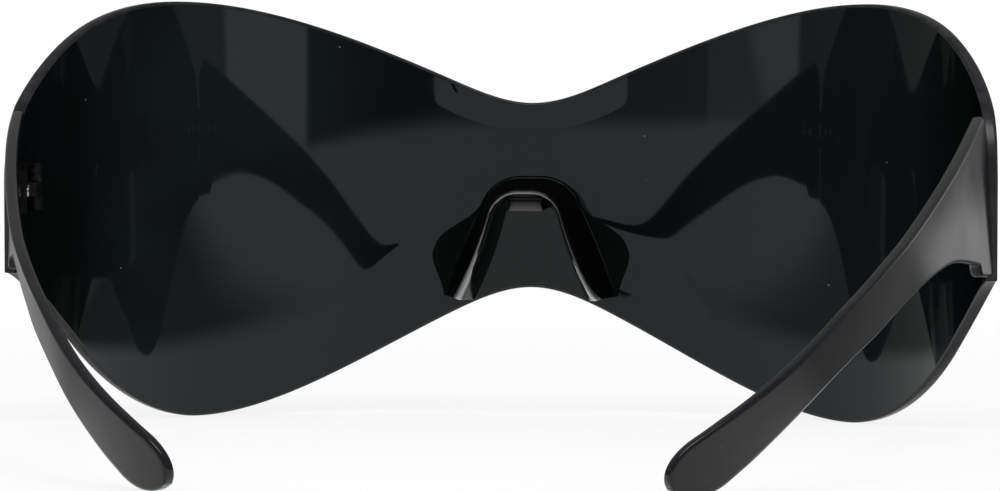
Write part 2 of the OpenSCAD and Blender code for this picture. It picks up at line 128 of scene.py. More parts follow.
@dataclass
class Posture:
    """How the pieces stand: a lean towards the wearer, and a shift forward onto the table."""

    lean: float = 1.8
    forward: float = 30.0
    drop: float = 0.0

    def matrix(self) -> Matrix:
        """Matrix from upright millimetres to the table's metres."""
        move = Matrix.Translation((0, self.forward, -self.drop))
        return Matrix.Scale(MM, 4) @ move @ Matrix.Rotation(math.radians(self.lean), 4, "X")

    def place(self, points: np.ndarray) -> np.ndarray:
        """Moves upright points in millimetres to the table, in metres."""
        m = np.array(self.matrix())
        return points @ m[:3, :3].T + m[:3, 3]


# ---------------------------------------------------------------- node graphs


def arithmetic(operation: str, swapped: bool = False) -> Callable[..., "Signal"]:
    """Makes a method of Signal that adds a Math node.

    Args:
        operation: The node's operation.
        swapped: True where the other value comes first.

    Returns:
        The method.
    """
    def method(self: "Signal", other: Any = 0.0) -> "Signal":
        """Works the operation out on the signal and another value."""
        values = (other, self) if swapped else (self, other)
        return self.graph.node("ShaderNodeMath", {"operation": operation}, dict(enumerate(values)))
    return method


class Signal:
    """A socket of a node graph, with the arithmetic that the graphs use."""

    def __init__(self, graph: "Graph", socket: bpy.types.NodeSocket) -> None:
        """Keeps the socket and the graph it belongs to."""
        self.graph = graph
        self.socket = socket

    __add__, __radd__ = arithmetic("ADD"), arithmetic("ADD", swapped=True)
    __sub__, __rsub__ = arithmetic("SUBTRACT"), arithmetic("SUBTRACT", swapped=True)
    __mul__, __rmul__ = arithmetic("MULTIPLY"), arithmetic("MULTIPLY", swapped=True)
    __truediv__, __pow__ = arithmetic("DIVIDE"), arithmetic("POWER")
    larger, smaller = arithmetic("MAXIMUM"), arithmetic("MINIMUM")
    size, sign = arithmetic("ABSOLUTE"), arithmetic("SIGN")
    sine, cosine = arithmetic("SINE"), arithmetic("COSINE")


class Graph:
    """A node tree that is written as expressions."""

    def __init__(self, tree: bpy.types.NodeTree) -> None:
        """Keeps the tree and empties it."""
        self.tree = tree
        tree.nodes.clear()

    def node(self, kind: str, settings: dict[str, Any] | None = None,
             inputs: dict[Any, Any] | None = None, output: Any = 0) -> Signal:
        """Adds a node.

        Args:
            kind: The node's type.
            settings: Its own settings, set before its sockets.
            inputs: Values or signals for its sockets, by name or number.
            output: Name or number of the output that is wanted.

        Returns:
            The output, as a signal.
        """
        made = self.tree.nodes.new(kind)
        for name, value in (settings or {}).items():
            setattr(made, name, value)
        for name, value in (inputs or {}).items():
            if isinstance(value, Signal):
                self.tree.links.new(value.socket, made.inputs[name])
            else:
                made.inputs[name].default_value = value
        return Signal(self, made.outputs[output] if made.outputs else None)

    def outputs(self, signal: Signal) -> dict[str, Signal]:
        """All outputs of a signal's node, by name."""
        return {o.name: Signal(self, o) for o in signal.socket.node.outputs if o.name}

    def split(self, vector: Signal) -> tuple[Signal, Signal, Signal]:
        """The three parts of a vector."""
        parts = self.outputs(self.node("ShaderNodeSeparateXYZ", None, {0: vector}))
        return parts["X"], parts["Y"], parts["Z"]

    def join(self, x: Any, y: Any, z: Any) -> Signal:
        """A vector of three parts."""
        return self.node("ShaderNodeCombineXYZ", None, {"X": x, "Y": y, "Z": z})

    def place(self, stretch: Triple = (1, 1, 1)) -> Signal:
        """Object coordinates in millimetres, stretched along the three axes."""
        at = self.node("ShaderNodeTexCoord", output="Object")
        return self.node("ShaderNodeMapping", None, {"Vector": at, "Scale": tuple(s / MM for s in stretch)})

    def attribute(self, name: str, output: str = "Fac") -> Signal:
        """An attribute of the mesh."""
        return self.node("ShaderNodeAttribute", {"attribute_name": name}, None, output)

    def ramp(self, value: Signal, low: Any, high: Any) -> Signal:
        """Eases from 0 to 1 as a value runs from low to high."""
        return self.node("ShaderNodeMapRange", {"clamp": True, "interpolation_type": "SMOOTHSTEP"},
                         {"Value": value, "From Min": low, "From Max": high})

    def bump(self, height: Signal, depth: float) -> Signal:
        """A normal bumped by a height pattern, whose depth is in millimetres."""
        return self.node("ShaderNodeBump", None, {"Height": height, "Distance": depth * MM, "Strength": 1.0})

    def mix(self, share: Any, first: Any, second: Any) -> Signal:
        """Mixes a share of the second colour into the first."""
        return self.node("ShaderNodeMix", {"data_type": "RGBA"}, {0: share, 6: first, 7: second}, 2)


# ---------------------------------------------------------------- finishes


def rgb(red: float, green: float, blue: float) -> Colour:
    """A linear colour with full alpha."""
    return (red, green, blue, 1.0)


@dataclass(frozen=True)
class Grain:
    """A noise pattern: its scale per millimetre, finer octaves, stretch, and the span it eases over."""

    scale: float
    detail: float = 3.0
    stretch: Triple = (1.0, 1.0, 1.0)
    span: Pair | None = None

    def over(self, graph: Graph) -> Signal:
        """Lays the pattern over a surface.

        Args:
            graph: The material's graph.

        Returns:
            The pattern, from 0 to 1.
        """
        inputs = {"Vector": graph.place(self.stretch), "Scale": self.scale, "Detail": self.detail}
        found = graph.node("ShaderNodeTexNoise", None, inputs, "Fac")
        return graph.ramp(found, *self.span) if self.span else found


@dataclass(frozen=True)
class Dust:
    """Specks of dust: how close together they lie, and the span from a speck's rim to its core."""

    scale: float
    span: Pair

    def over(self, graph: Graph) -> Signal:
        """Lays the specks over a surface.

        Args:
            graph: The material's graph.

        Returns:
            The pattern, 1 on a speck and 0 elsewhere.
        """
        inputs = {"Vector": graph.place(), "Scale": self.scale}
        return graph.ramp(graph.node("ShaderNodeTexVoronoi", None, inputs, "Distance"), *self.span)


@dataclass(frozen=True)
class Layer:
    """A layer of a finish: its pattern, its colour and share of it, and how much it roughens."""

    pattern: Union[Grain, Dust]
    colour: Colour | None = None
    share: float = 1.0
    rough: float = 0.0


@dataclass(frozen=True)
class Finish:
    """A surface finish: its name, ground colour, gloss, layers, and the relief of its bump."""

    name: str
    colour: Colour
    roughness: float
    ior: float = 1.45
    metallic: float = 0.0
    layers: tuple[Layer, ...] = ()
    relief: Grain | None = None
    depth: float = 0.0

    def material(self) -> bpy.types.Material:
        """Makes the finish's material, once.

        Returns:
            The material.
        """
        found = bpy.data.materials.get(self.name)
        if found:
            return found
        made = bpy.data.materials.new(self.name)
        made.use_nodes = True
        graph = Graph(made.node_tree)
        graph.node("ShaderNodeOutputMaterial", None, {"Surface": self.shader(graph)})
        return made

    def ground(self, graph: Graph) -> Any:
        """The colour under the layers."""
        return self.colour

    def surface(self, graph: Graph) -> dict[str, Any]:
        """Lays the layers and the relief on the ground colour.

        Args:
            graph: The material's graph.

        Returns:
            The inputs of the Principled shader, by name.
        """
        body, rough = self.ground(graph), self.roughness
        for layer in self.layers:
            seen = layer.pattern.over(graph)
            if layer.colour:
                body = graph.mix(seen * layer.share, body, layer.colour)
            if layer.rough:
                rough = rough + seen * layer.rough
        inputs = {"Base Color": body, "Roughness": rough, "IOR": self.ior, "Metallic": self.metallic}
        if self.relief:
            inputs["Normal"] = graph.bump(self.relief.over(graph), self.depth)
        return inputs

    def shader(self, graph: Graph) -> Signal:
        """The finish's shader."""
        return graph.node("ShaderNodeBsdfPrincipled", None, self.surface(graph))


@dataclass(frozen=True)
class TintedFace(Finish):
    """Polished dark sheet, as the wearer sees it, with faint casts of colour, wipe marks and dust,
    and a painted glow of light through the lens over the lobes.

    The sheet isn't quite even: slow swells turn its reflections, a soft crease runs out from the
    nose saddle along the lower edge, and the middle of the upper edge, the brow, is turned too.
    """

    name: str = "tinted_face"
    colour: Colour = rgb(0.0026, 0.0036, 0.0034)
    roughness: float = 0.03
    ior: float = 1.345
    tint: Colour = rgb(0.90, 0.97, 1.0)
    cool: Colour = rgb(0.0030, 0.0040, 0.0056)
    # Painted light: a paler colour over the lobes, for light seen through the lens.
    lobe: Colour = rgb(0.0074, 0.0104, 0.0108)
    lobe_start: Pair = (18.0, 40.0)
    lobe_end: Pair = (66.0, 84.0)
    lobe_middle: Pair = (-20.0, 20.0)
    lobe_right: float = 0.5
    cast: Grain = Grain(0.03, 1.0, span=(0.35, 0.65))
    layers: tuple[Layer, ...] = (
        Layer(Grain(0.05, 2.0, (0.6, 0.6, 1.3), (0.4, 0.7)), rgb(0.0042, 0.0040, 0.0050), share=0.4),
        Layer(Grain(0.12, 4.0, (0.25, 0.25, 1.0), (0.5, 0.8)), rough=0.05),
        Layer(Dust(0.16, (0.028, 0.016)), rgb(0.16, 0.17, 0.17), rough=0.3))
    swell: Triple = (0.0535, 0.0545, 2.2)
    swell_at: Pair = (15.0, 70.0)
    swell_end: float = 6.9
    swell_skew: float = 0.7
    brow: Triple = (45.6, 0.018, 3.4)
    brow_power: float = 1.5
    brow_reach: Pair = (9.0, 17.0)
    crease_z: float = 36.0
    crease_fall: float = 0.42
    crease_end: Pair = (20.0, 0.09)
    crease_turn: float = 3.6
    crease_width: float = 1.4
    crease_depth: float = 10.0
    crease_reach: Pair = (26.0, 46.0)

    def swells(self, graph: Graph) -> Signal:
        """Height of the sheet's swells, crease and brow, in millimetres.

        Args:
            graph: The material's graph.

        Returns:
            The height.
        """
        s, _, z = graph.split(graph.attribute("flat", "Vector"))
        out = s.size()
        a = out.smaller(self.swell_at[1])
        low, high, power = self.swell
        slow = ((a - self.swell_at[0]).larger(0.0) ** power * high - a * a * low
                + (out - a) * self.swell_end - s * self.swell_skew)
        beyond = (out - self.crease_end[0]).larger(0.0)
        under = self.crease_z - out * self.crease_fall - beyond * beyond * self.crease_end[1] - z
        w = self.crease_width
        bent = ((under * under + w * w) ** 0.5 * 0.5 + under * 0.5).smaller(self.crease_depth)
        fade = 1 - graph.ramp(out, *self.crease_reach)
        start, rise, turn = self.brow
        over = (z - out * out * rise - start).larger(0.0)
        brow = over ** self.brow_power * turn * (1 - graph.ramp(out, *self.brow_reach))
        return (slow - bent * fade * self.crease_turn + brow) * math.radians(1)

    def ground(self, graph: Graph) -> Signal:
        """Dark sheet with a cool cast, and a painted glow of light through the lens over the lobes.

        Args:
            graph: The material's graph.

        Returns:
            The colour.
        """
        s = graph.split(graph.attribute("flat", "Vector"))[0]
        out = s.size()
        # Painted glow of light through the lens, over the lobes and weaker on the right.
        lobe = (graph.ramp(out, *self.lobe_start) * (1 - graph.ramp(out, *self.lobe_end))
                * (1 - graph.ramp(s, *self.lobe_middle) * self.lobe_right))
        return graph.mix(lobe, graph.mix(self.cast.over(graph), self.colour, self.cool), self.lobe)

    def surface(self, graph: Graph) -> dict[str, Any]:
        """Adds the swells and the reflections' tint.

        Args:
            graph: The material's graph.

        Returns:
            The inputs of the Principled shader, by name.
        """
        swells = graph.bump(self.swells(graph), 1.0)
        return super().surface(graph) | {"Specular Tint": self.tint, "Normal": swells}


@dataclass(frozen=True)
class MirrorFace(Finish):
    """Silver mirror coat on the front of the lens, with faint wipe marks and dust."""

    name: str = "mirror_face"
    colour: Colour = rgb(0.46, 0.48, 0.50)
    roughness: float = 0.03
    metallic: float = 1.0
    deep: Colour = rgb(0.20, 0.215, 0.235)
    deepens: Pair = (12.0, 62.0)
    wave: Grain = Grain(0.04, 2.0)
    wave_height: float = 6.0
    layers: tuple[Layer, ...] = (
        Layer(Grain(0.1, 4.0, (0.3, 0.3, 1.0), (0.5, 0.8)), rough=0.06),
        Layer(Dust(0.13, (0.022, 0.012)), rough=0.3))

    def ground(self, graph: Graph) -> Signal:
        """Silver that deepens towards the upper edge, in millimetres of height.

        Args:
            graph: The material's graph.

        Returns:
            The colour.
        """
        height = graph.split(graph.place())[2]
        tone = graph.ramp(height + self.wave.over(graph) * self.wave_height, *self.deepens)
        return graph.mix(tone, self.colour, self.deep)


@dataclass(frozen=True)
class CutEdge(Finish):
    """Edge of the lens, cut and then polished by hand: fine lines and a slightly uneven polish."""

    name: str = "cut_edge"
    colour: Colour = rgb(0.010, 0.0105, 0.012)
    roughness: float = 0.16
    ior: float = 1.37
    layers: tuple[Layer, ...] = (
        Layer(Grain(0.35, span=(0.35, 0.7)), rgb(0.024, 0.022, 0.025)),
        Layer(Grain(1.6, 5.0, (1.0, 1.0, 0.25)), rough=0.14))
    relief: Grain = Grain(1.6, 5.0, (1.0, 1.0, 0.25))
    depth: float = 0.02


@dataclass(frozen=True)
class MouldedBlack(Finish):
    """Black moulded plastic with a faint ripple and small marks: dull faces of painted shade between edges
    of painted highlight.
    """

    name: str = "moulded_black"
    colour: Colour = rgb(0.0014, 0.0016, 0.0018)
    roughness: float = 0.07
    # Painted highlight: a high index on the chosen edges; the dull index nearly takes the reflection off the
    # faces, a painted shade.
    ior: float = 2.3
    dull_ior: float = 1.05
    dull_share: float = 2.0
    # Painted reflection: a paler, greenish tone laid on the wings.
    wing: Colour = rgb(0.0034, 0.0044, 0.0042)
    layers: tuple[Layer, ...] = (
        Layer(Grain(2.2, 4.0, span=(0.58, 0.75)), rgb(0.006, 0.006, 0.0065), 0.4, 0.12),)
    relief: Grain = Grain(0.45, 2.0)
    depth: float = 0.04

    def ground(self, graph: Graph) -> Signal:
        """Black, with a painted reflection in a paler tone on the wings."""
        return graph.mix(graph.attribute("wing"), self.colour, self.wing)

    def shader(self, graph: Graph) -> Signal:
        """Mixes painted highlights on the edges with the dull faces, whose painted shade nearly takes their
        reflection away.

        Args:
            graph: The material's graph.

        Returns:
            The shader.
        """
        highlit = self.surface(graph)
        # Two copies of one finish, mixed by the painted-highlight shares: a dull one for painted shade on
        # the faces, a bright one for painted highlights on the edges.
        dull_and_shaded = highlit | {"IOR": self.dull_ior, "Roughness": highlit["Roughness"] * self.dull_share}
        both = [graph.node("ShaderNodeBsdfPrincipled", None, inputs) for inputs in (dull_and_shaded, highlit)]
        return graph.node("ShaderNodeMixShader", None,
                          {0: graph.attribute("polish"), 1: both[0], 2: both[1]})


@dataclass(frozen=True)
class SatinArm(Finish):
    """Dark grey arm with cloudy depth, a very fine grain and light handling marks."""

    name: str = "satin_arm"
    colour: Colour = rgb(0.0045, 0.005, 0.0065)
    roughness: float = 0.09
    ior: float = 1.385
    layers: tuple[Layer, ...] = (
        Layer(Grain(0.07, 3.0, span=(0.3, 0.7)), rgb(0.008, 0.0085, 0.010), rough=0.06),
        Layer(Grain(1.1, 5.0, (1.0, 0.2, 1.0), (0.6, 0.78)), rgb(0.03, 0.03, 0.031), 0.5, 0.08))
    relief: Grain = Grain(5.5, 2.0)
    depth: float = 0.0035


@dataclass(frozen=True)
class BlackenedMetal(Finish):
    """Blackened hinge metal with brushed lines, rubbed brighter in places."""

    name: str = "blackened_metal"
    colour: Colour = rgb(0.0024, 0.0028, 0.0030)
    roughness: float = 0.34
    ior: float = 1.24
    metallic: float = 0.10
    layers: tuple[Layer, ...] = (
        Layer(Grain(1.5, 4.0, (4.0, 0.5, 0.5)), rough=0.12),
        Layer(Grain(0.9, 4.0, span=(0.52, 0.72)), rgb(0.016, 0.016, 0.017), rough=-0.08))
    relief: Grain = Grain(1.5, 4.0, (4.0, 0.5, 0.5))
    depth: float = 0.012


@dataclass(frozen=True)
class TurnedSteel(Finish):
    """Bright turned steel of the small screws, with fine turning lines and a little tarnish."""

    name: str = "turned_steel"
    colour: Colour = rgb(0.42, 0.42, 0.43)
    roughness: float = 0.22
    metallic: float = 1.0
    layers: tuple[Layer, ...] = (
        Layer(Grain(1.6, 4.0, span=(0.45, 0.7)), rgb(0.20, 0.19, 0.185), rough=0.2),)
    relief: Grain = Grain(3.0, 2.0, (1.0, 1.0, 6.0))
    depth: float = 0.01


# ---------------------------------------------------------------- meshes


def add_object(name: str, data: Any) -> bpy.types.Object:
    """Makes an object at the origin and links it to the scene.

    Args:
        name: The object's name.
        data: Its mesh, lamp or camera.

    Returns:
        The object.
    """
    made = bpy.data.objects.new(name, data)
    bpy.context.scene.collection.objects.link(made)
    return made


def mark(mesh: bpy.types.Mesh, name: str, kind: str, domain: str, values: Any) -> None:
    """Gives a mesh an attribute.

    Args:
        mesh: The mesh.
        name: The attribute's name.
        kind: Its data type.
        domain: POINT or FACE.
        values: Its values in a row.
    """
    made = mesh.attributes.new(name, kind, domain)
    made.data.foreach_set("vector" if kind == "FLOAT_VECTOR" else "value", values)


def band(start: int, size: int) -> Faces:
    """Faces between a ring of points and the next one.

    Args:
        start: Number of the ring's first point.
        size: Points in a ring.

    Returns:
        The faces.
    """
    pairs = [(start + j, start + (j + 1) % size) for j in range(size)]
    return [[a, b, b + size, a + size] for a, b in pairs]


def shell(rings: np.ndarray) -> tuple[np.ndarray, Faces]:
    """Closed skin over a row of rings, with a cap at either end.

    Args:
        rings: Array of rings by points by coordinates.

    Returns:
        The points and the faces, which point outwards.
    """
    count, size = rings.shape[:2]
    points = rings.reshape(-1, 3)
    faces = [face for i in range(count - 1) for face in band(i * size, size)]
    faces.append(list(range(size - 1, -1, -1)))
    faces.append([(count - 1) * size + j for j in range(size)])
    return points, outward(points, faces)


def outward(points: np.ndarray, faces: Faces) -> Faces:
    """Turns the faces of a closed shape outwards, if its volume comes out negative.

    Args:
        points: The shape's points.
        faces: Its faces, which already agree with each other.

    Returns:
        The faces, pointing outwards.
    """
    middle = points.mean(0)
    volume = 0.0
    for face in faces:
        a = points[face[0]] - middle
        for i in range(1, len(face) - 1):
            volume += float(np.dot(a, np.cross(points[face[i]] - middle, points[face[i + 1]] - middle)))
    return [face[::-1] for face in faces] if volume < 0 else faces


def piece(name: str, points: np.ndarray, faces: Faces, crease: float = 35.0) -> bpy.types.Object:
    """Makes an object at the origin from placed points.

    Args:
        name: The piece's name.
        points: Points in metres.
        faces: Faces, pointing outwards.
        crease: Angle in degrees above which an edge stays sharp.

    Returns:
        The object.
    """
    mesh = bpy.data.meshes.new(name)
    mesh.from_pydata(points.tolist(), [], faces)
    mesh.validate()
    mesh.shade_smooth()
    mesh.set_sharp_from_angle(angle=math.radians(crease))
    return add_object(name, mesh)


def rounded(ring: np.ndarray, radii: Sequence[float], samples: int) -> np.ndarray:
    """Rounds the corners of a closed ring.

    Args:
        ring: Points of the ring.
        radii: How far each corner's rounding reaches along its sides.
        samples: Points on each rounding.

    Returns:
        The rounded ring.
    """
    out = []
    most = 0.45
    for i, (here, before, after) in enumerate(zip(ring, np.roll(ring, 1, 0), np.roll(ring, -1, 0))):
        back, on = before - here, after - here
        room_back, room_on = np.linalg.norm(back), np.linalg.norm(on)
        start = here + back / room_back * min(radii[i], room_back * most)
        end = here + on / room_on * min(radii[i], room_on * most)
        for t in np.linspace(0, 1, samples):
            out.append((1 - t) ** 2 * start + 2 * t * (1 - t) * here + t * t * end)
    return np.array(out)


def bake(made: bpy.types.Object, tree: bpy.types.NodeTree, values: dict[str, Any]) -> None:
    """Runs a Geometry Nodes tree on an object and keeps the result as its plain mesh.

    Args:
        made: The object.
        tree: The tree.
        values: The tree's inputs by name.
    """
    modifier = made.modifiers.new("shape", "NODES")
    modifier.node_group = tree
    for item in tree.interface.items_tree:
        if item.item_type == "SOCKET" and item.in_out == "INPUT" and item.name in values:
            modifier[item.identifier] = values[item.name]
    bpy.context.view_layer.update()
    seen = made.evaluated_get(bpy.context.evaluated_depsgraph_get())
    mesh = bpy.data.meshes.new_from_object(seen)
    made.modifiers.remove(modifier)
    mesh.name = made.name
    made.data = mesh


def new_tree(name: str, inputs: dict[str, str]) -> tuple[Graph, dict[str, Signal]]:
    """Starts a Geometry Nodes tree with a geometry input and output.

    Args:
        name: The tree's name.
        inputs: Kinds of its further inputs, by name.

    Returns:
        The graph, and the tree's inputs as signals, by name.
    """
    tree = bpy.data.node_groups.new(name, "GeometryNodeTree")
    for title, kind in {"Geometry": "Geometry", **inputs}.items():
        tree.interface.new_socket(title, in_out="INPUT", socket_type=f"NodeSocket{kind}")
    tree.interface.new_socket("Geometry", in_out="OUTPUT", socket_type="NodeSocketGeometry")
    graph = Graph(tree)
    return graph, graph.outputs(graph.node("NodeGroupInput"))


# ---------------------------------------------------------------- sub-assemblies


@dataclass
class ShieldLens:
    """The wrap-round lens: an unrolled blank that is bent along its plan curve."""

    half_arc: float = 101.6
    centre_r: float = 102.0
    extra_turn: float = 29.5
    thick: float = 2.0
    bevel: float = 0.45
    bevel_curve: Pair = (0.42, 0.13)
    pinch_top: float = 50.1
    pinch_low: float = 20.0
    flank: Triple = (14.0, 4.3, 4.6)
    flank_slopes: Pair = (0.444, -0.5)
    lobe_top: float = 67.1
    lobe_top_at: float = 60.0
    lobe_low_at: float = 55.5
    shoulder: Triple = (80.0, 4.7, 12.9)
    shoulder_slopes: Pair = (-0.513, 0.948)
    end_top: float = 48.1
    end_low: float = 26.0
    end_slopes: Pair = (-0.72, 0.12)
    end_round: Pair = (6.0, 7.0)
    columns: int = 150
    end_columns: int = 18
    rows: int = 20
    walk_steps: int = 1016
    support: float = 0.12
    walked: np.ndarray = field(init=False)

    def __post_init__(self) -> None:
        """Walks along the plan curve once."""
        step = self.half_arc / self.walk_steps
        h = self.heading((np.arange(self.walk_steps) + 0.5) * step)
        steps = np.stack([np.cos(h), -np.sin(h)], -1) * step
        self.walked = np.concatenate([[[0.0, 0.0]], np.cumsum(steps, 0)])

    @property
    def depth(self) -> float:
        """How far the centre of the inner face lies in front of the end edges."""
        return float(-self.walked[-1, 1])

    @property
    def end_x(self) -> float:
        """Distance of the inner face's end from the middle plane."""
        return float(self.walked[-1, 0])

    def heading(self, s: Any) -> Any:
        """Turn of the plan curve at s from the centre, in radians."""
        return s / self.centre_r + math.radians(self.extra_turn) * (s / self.half_arc) ** 3

    def point(self, s: Any, d: Any, z: Any) -> np.ndarray:
        """Points of the lens.

        Args:
            s: Distance along the inner face from the centre.
            d: Distance through the lens towards the front.
            z: Height.

        Returns:
            The points, in rows.
        """
        s, d, z = np.broadcast_arrays(np.asarray(s, float), d, z)
        a = np.abs(s)
        knots = np.linspace(0, self.half_arc, self.walk_steps + 1)
        x = np.interp(a, knots, self.walked[:, 0])
        y = np.interp(a, knots, self.walked[:, 1]) + self.depth
        h = self.heading(a)
        k = np.where(s < 0, -1.0, 1.0)
        return np.stack([k * (x + d * np.sin(h)), y + d * np.cos(h), z], -1)

    def top(self, s: Any) -> Any:
        """Height of the upper edge.

        Args:
            s: Distance along the inner face from the centre.

        Returns:
            The height.
        """
        a = np.abs(s)
        at, rise, _ = self.flank
        out, fall, _ = self.shoulder
        nodes = [(0, self.pinch_top, 0), (at, self.pinch_top + rise, self.flank_slopes[0]),
                 (self.lobe_top_at, self.lobe_top, 0),
                 (out, self.lobe_top - fall, self.shoulder_slopes[0]),
                 (self.half_arc, self.end_top, self.end_slopes[0])]
        return hermite(nodes, a) - corner(*self.end_round, a - self.half_arc + self.end_round[0])

    def low(self, s: Any) -> Any:
        """Height of the lower edge.

        Args:
            s: Distance along the inner face from the centre.

        Returns:
            The height.
        """
        at, _, fall = self.flank
        out, _, rise = self.shoulder
        nodes = [(0, self.pinch_low, 0), (at, self.pinch_low - fall, self.flank_slopes[1]),
                 (self.lobe_low_at, 0, 0), (out, rise, self.shoulder_slopes[1]),
                 (self.half_arc, self.end_low, self.end_slopes[1])]
        return hermite(nodes, np.abs(s))

    def stations(self) -> np.ndarray:
        """Places of the blank's columns, closer together at the rounded ends.

        Returns:
            The places, from end to end.
        """
        even = np.linspace(0, self.half_arc - self.end_round[0], self.columns)
        turn = np.linspace(0, math.pi / 2, self.end_columns)[1:]
        half = np.concatenate([even, self.half_arc - self.end_round[0] * (1 - np.sin(turn))])
        return np.concatenate([-half[:0:-1], half])

    def blank(self) -> tuple[np.ndarray, Faces, list[int]]:
        """The flat blank, with X along the lens, Y through it and Z up.

        Its rim is a band of rings from the inner face over the bevels to the mirror, and a grid
        fills the rim's first ring and its last.

        Returns:
            Its points, its faces and the part of the lens that each face belongs to.
        """
        s = self.stations()
        share = np.linspace(0, 1, self.rows + 1)
        low, top = self.low(s)[:, None], self.top(s)[:, None]
        height = low + (top - low) * share
        wide, tall = height.shape
        rim = ([(i, 0) for i in range(wide)] + [(wide - 1, j) for j in range(1, tall)]
               + [(i, tall - 1) for i in range(wide - 2, -1, -1)] + [(0, j) for j in range(tall - 2, 0, -1)])
        edge = np.array([(s[i], height[i, j]) for i, j in rim])
        along = np.roll(edge, -1, 0) - np.roll(edge, 1, 0)
        inward = np.stack([-along[:, 1], along[:, 0]], -1)
        inward /= np.linalg.norm(inward, axis=1)[:, None]
        b, (far, near), inset = self.bevel, self.bevel_curve, self.bevel + self.support
        section = [(inset, 0.0), (b, 0.0), (b * far, b * near), (b * near, b * far), (0.0, b)]
        section += [(back, self.thick - d) for back, d in section[::-1]]
        points = [np.insert(edge + inward * back, 1, d, axis=1) for back, d in section]
        faces: Faces = []
        kinds: list[int] = []
        size, last = len(rim), len(section) - 1
        for r in range(last):
            kind = LensFace.INNER if r == 0 else LensFace.MIRROR if r == last - 1 else LensFace.EDGE
            faces += band(r * size, size)
            kinds += [kind.value] * size
        squeezed = low + inset + (top - low - 2 * inset) * share
        inner = [(i, j) for i in range(1, wide - 1) for j in range(1, tall - 1)]
        for fill, (r, kind) in enumerate(((0, LensFace.INNER), (last, LensFace.MIRROR))):
            start = (last + 1) * size + fill * len(inner)
            number = {q: r * size + j for j, q in enumerate(rim)}
            number |= {q: start + k for k, q in enumerate(inner)}
            points.append(np.array([(s[i], section[r][1], squeezed[i, j]) for i, j in inner]))
            for i in range(wide - 1):
                for j in range(tall - 1):
                    face = [number[i, j], number[i + 1, j], number[i + 1, j + 1], number[i, j + 1]]
                    faces.append(face if kind is LensFace.MIRROR else face[::-1])
                    kinds.append(kind.value)
        every = np.concatenate(points)
        return every, outward(every, faces), kinds

    def wrap_tree(self) -> bpy.types.NodeTree:
        """Geometry Nodes that bend a flat blank along the plan curve and dress its parts.

        Returns:
            The tree.
        """
        graph, want = new_tree("wrap_blank", {
            "Half arc": "Float", "Centre radius": "Float", "Extra turn": "Float", "Depth": "Float",
            "Steps": "Int", "Inner face": "Material", "Mirror face": "Material", "Edge": "Material"})
        line = graph.node("GeometryNodeCurvePrimitiveLine", None, {"End": (1, 0, 0)})
        curve = graph.node("GeometryNodeResampleCurve", None, {"Curve": line, "Count": want["Steps"] + 1})
        index = graph.node("GeometryNodeInputIndex")
        step = want["Half arc"] / want["Steps"]
        s = (index - 0.5) * step
        turn = s / want["Centre radius"] + want["Extra turn"] * (s / want["Half arc"]) ** 3
        move = step * index.smaller(1.0)
        stride = graph.join(turn.cosine() * move, 0 - turn.sine() * move, 0.0)
        walked = graph.node("GeometryNodeAccumulateField", {"data_type": "FLOAT_VECTOR"}, {0: stride})
        curve = graph.node("GeometryNodeSetPosition", None, {"Geometry": curve, "Position": walked})
        x, y, z = graph.split(graph.node("GeometryNodeInputPosition"))
        at = graph.outputs(graph.node("GeometryNodeSampleCurve", {"mode": "LENGTH"},
                                      {"Curves": curve, "Length": x.size()}))
        where, ahead = graph.split(at["Position"]), graph.split(at["Tangent"])
        bent = graph.join(x.sign() * (where[0] - y * ahead[1]), where[1] + y * ahead[0] + want["Depth"], z)
        body = graph.node("GeometryNodeSetPosition", None, {"Geometry": want["Geometry"], "Position": bent})
        body = graph.node("GeometryNodeRealizeInstances", None, {"Geometry": body})
        for kind, title in zip(LensFace, ("Inner face", "Mirror face", "Edge")):
            part = graph.node("GeometryNodeInputNamedAttribute", {"data_type": "INT"}, {"Name": "part"})
            is_it = graph.node("FunctionNodeCompare", {"data_type": "INT", "operation": "EQUAL"},
                               {2: part, 3: kind.value})
            body = graph.node("GeometryNodeSetMaterial", None,
                              {"Geometry": body, "Selection": is_it, "Material": want[title]})
        graph.node("NodeGroupOutput", None, {"Geometry": body})
        return graph.tree

    def build(self, posture: Posture) -> bpy.types.Object:
        """Builds the lens and puts it in the place of its solid.

        Args:
            posture: How the glasses stand.

        Returns:
            The lens.
        """
        points, faces, kinds = self.blank()
        mesh = bpy.data.meshes.new("lens")
        mesh.from_pydata(points.tolist(), [], faces)
        mark(mesh, "part", "INT", "FACE", kinds)
        mark(mesh, "flat", "FLOAT_VECTOR", "POINT", points.ravel())
        made = add_object("lens", mesh)
        bake(made, self.wrap_tree(), {
            "Half arc": self.half_arc, "Centre radius": self.centre_r,
            "Extra turn": math.radians(self.extra_turn), "Depth": self.depth, "Steps": self.walk_steps,
            "Inner face": TintedFace().material(), "Mirror face": MirrorFace().material(),
            "Edge": CutEdge().material()})
        made.data.transform(posture.matrix())
        made.data.shade_smooth()
        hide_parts("shield_lens")
        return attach(made, "front")


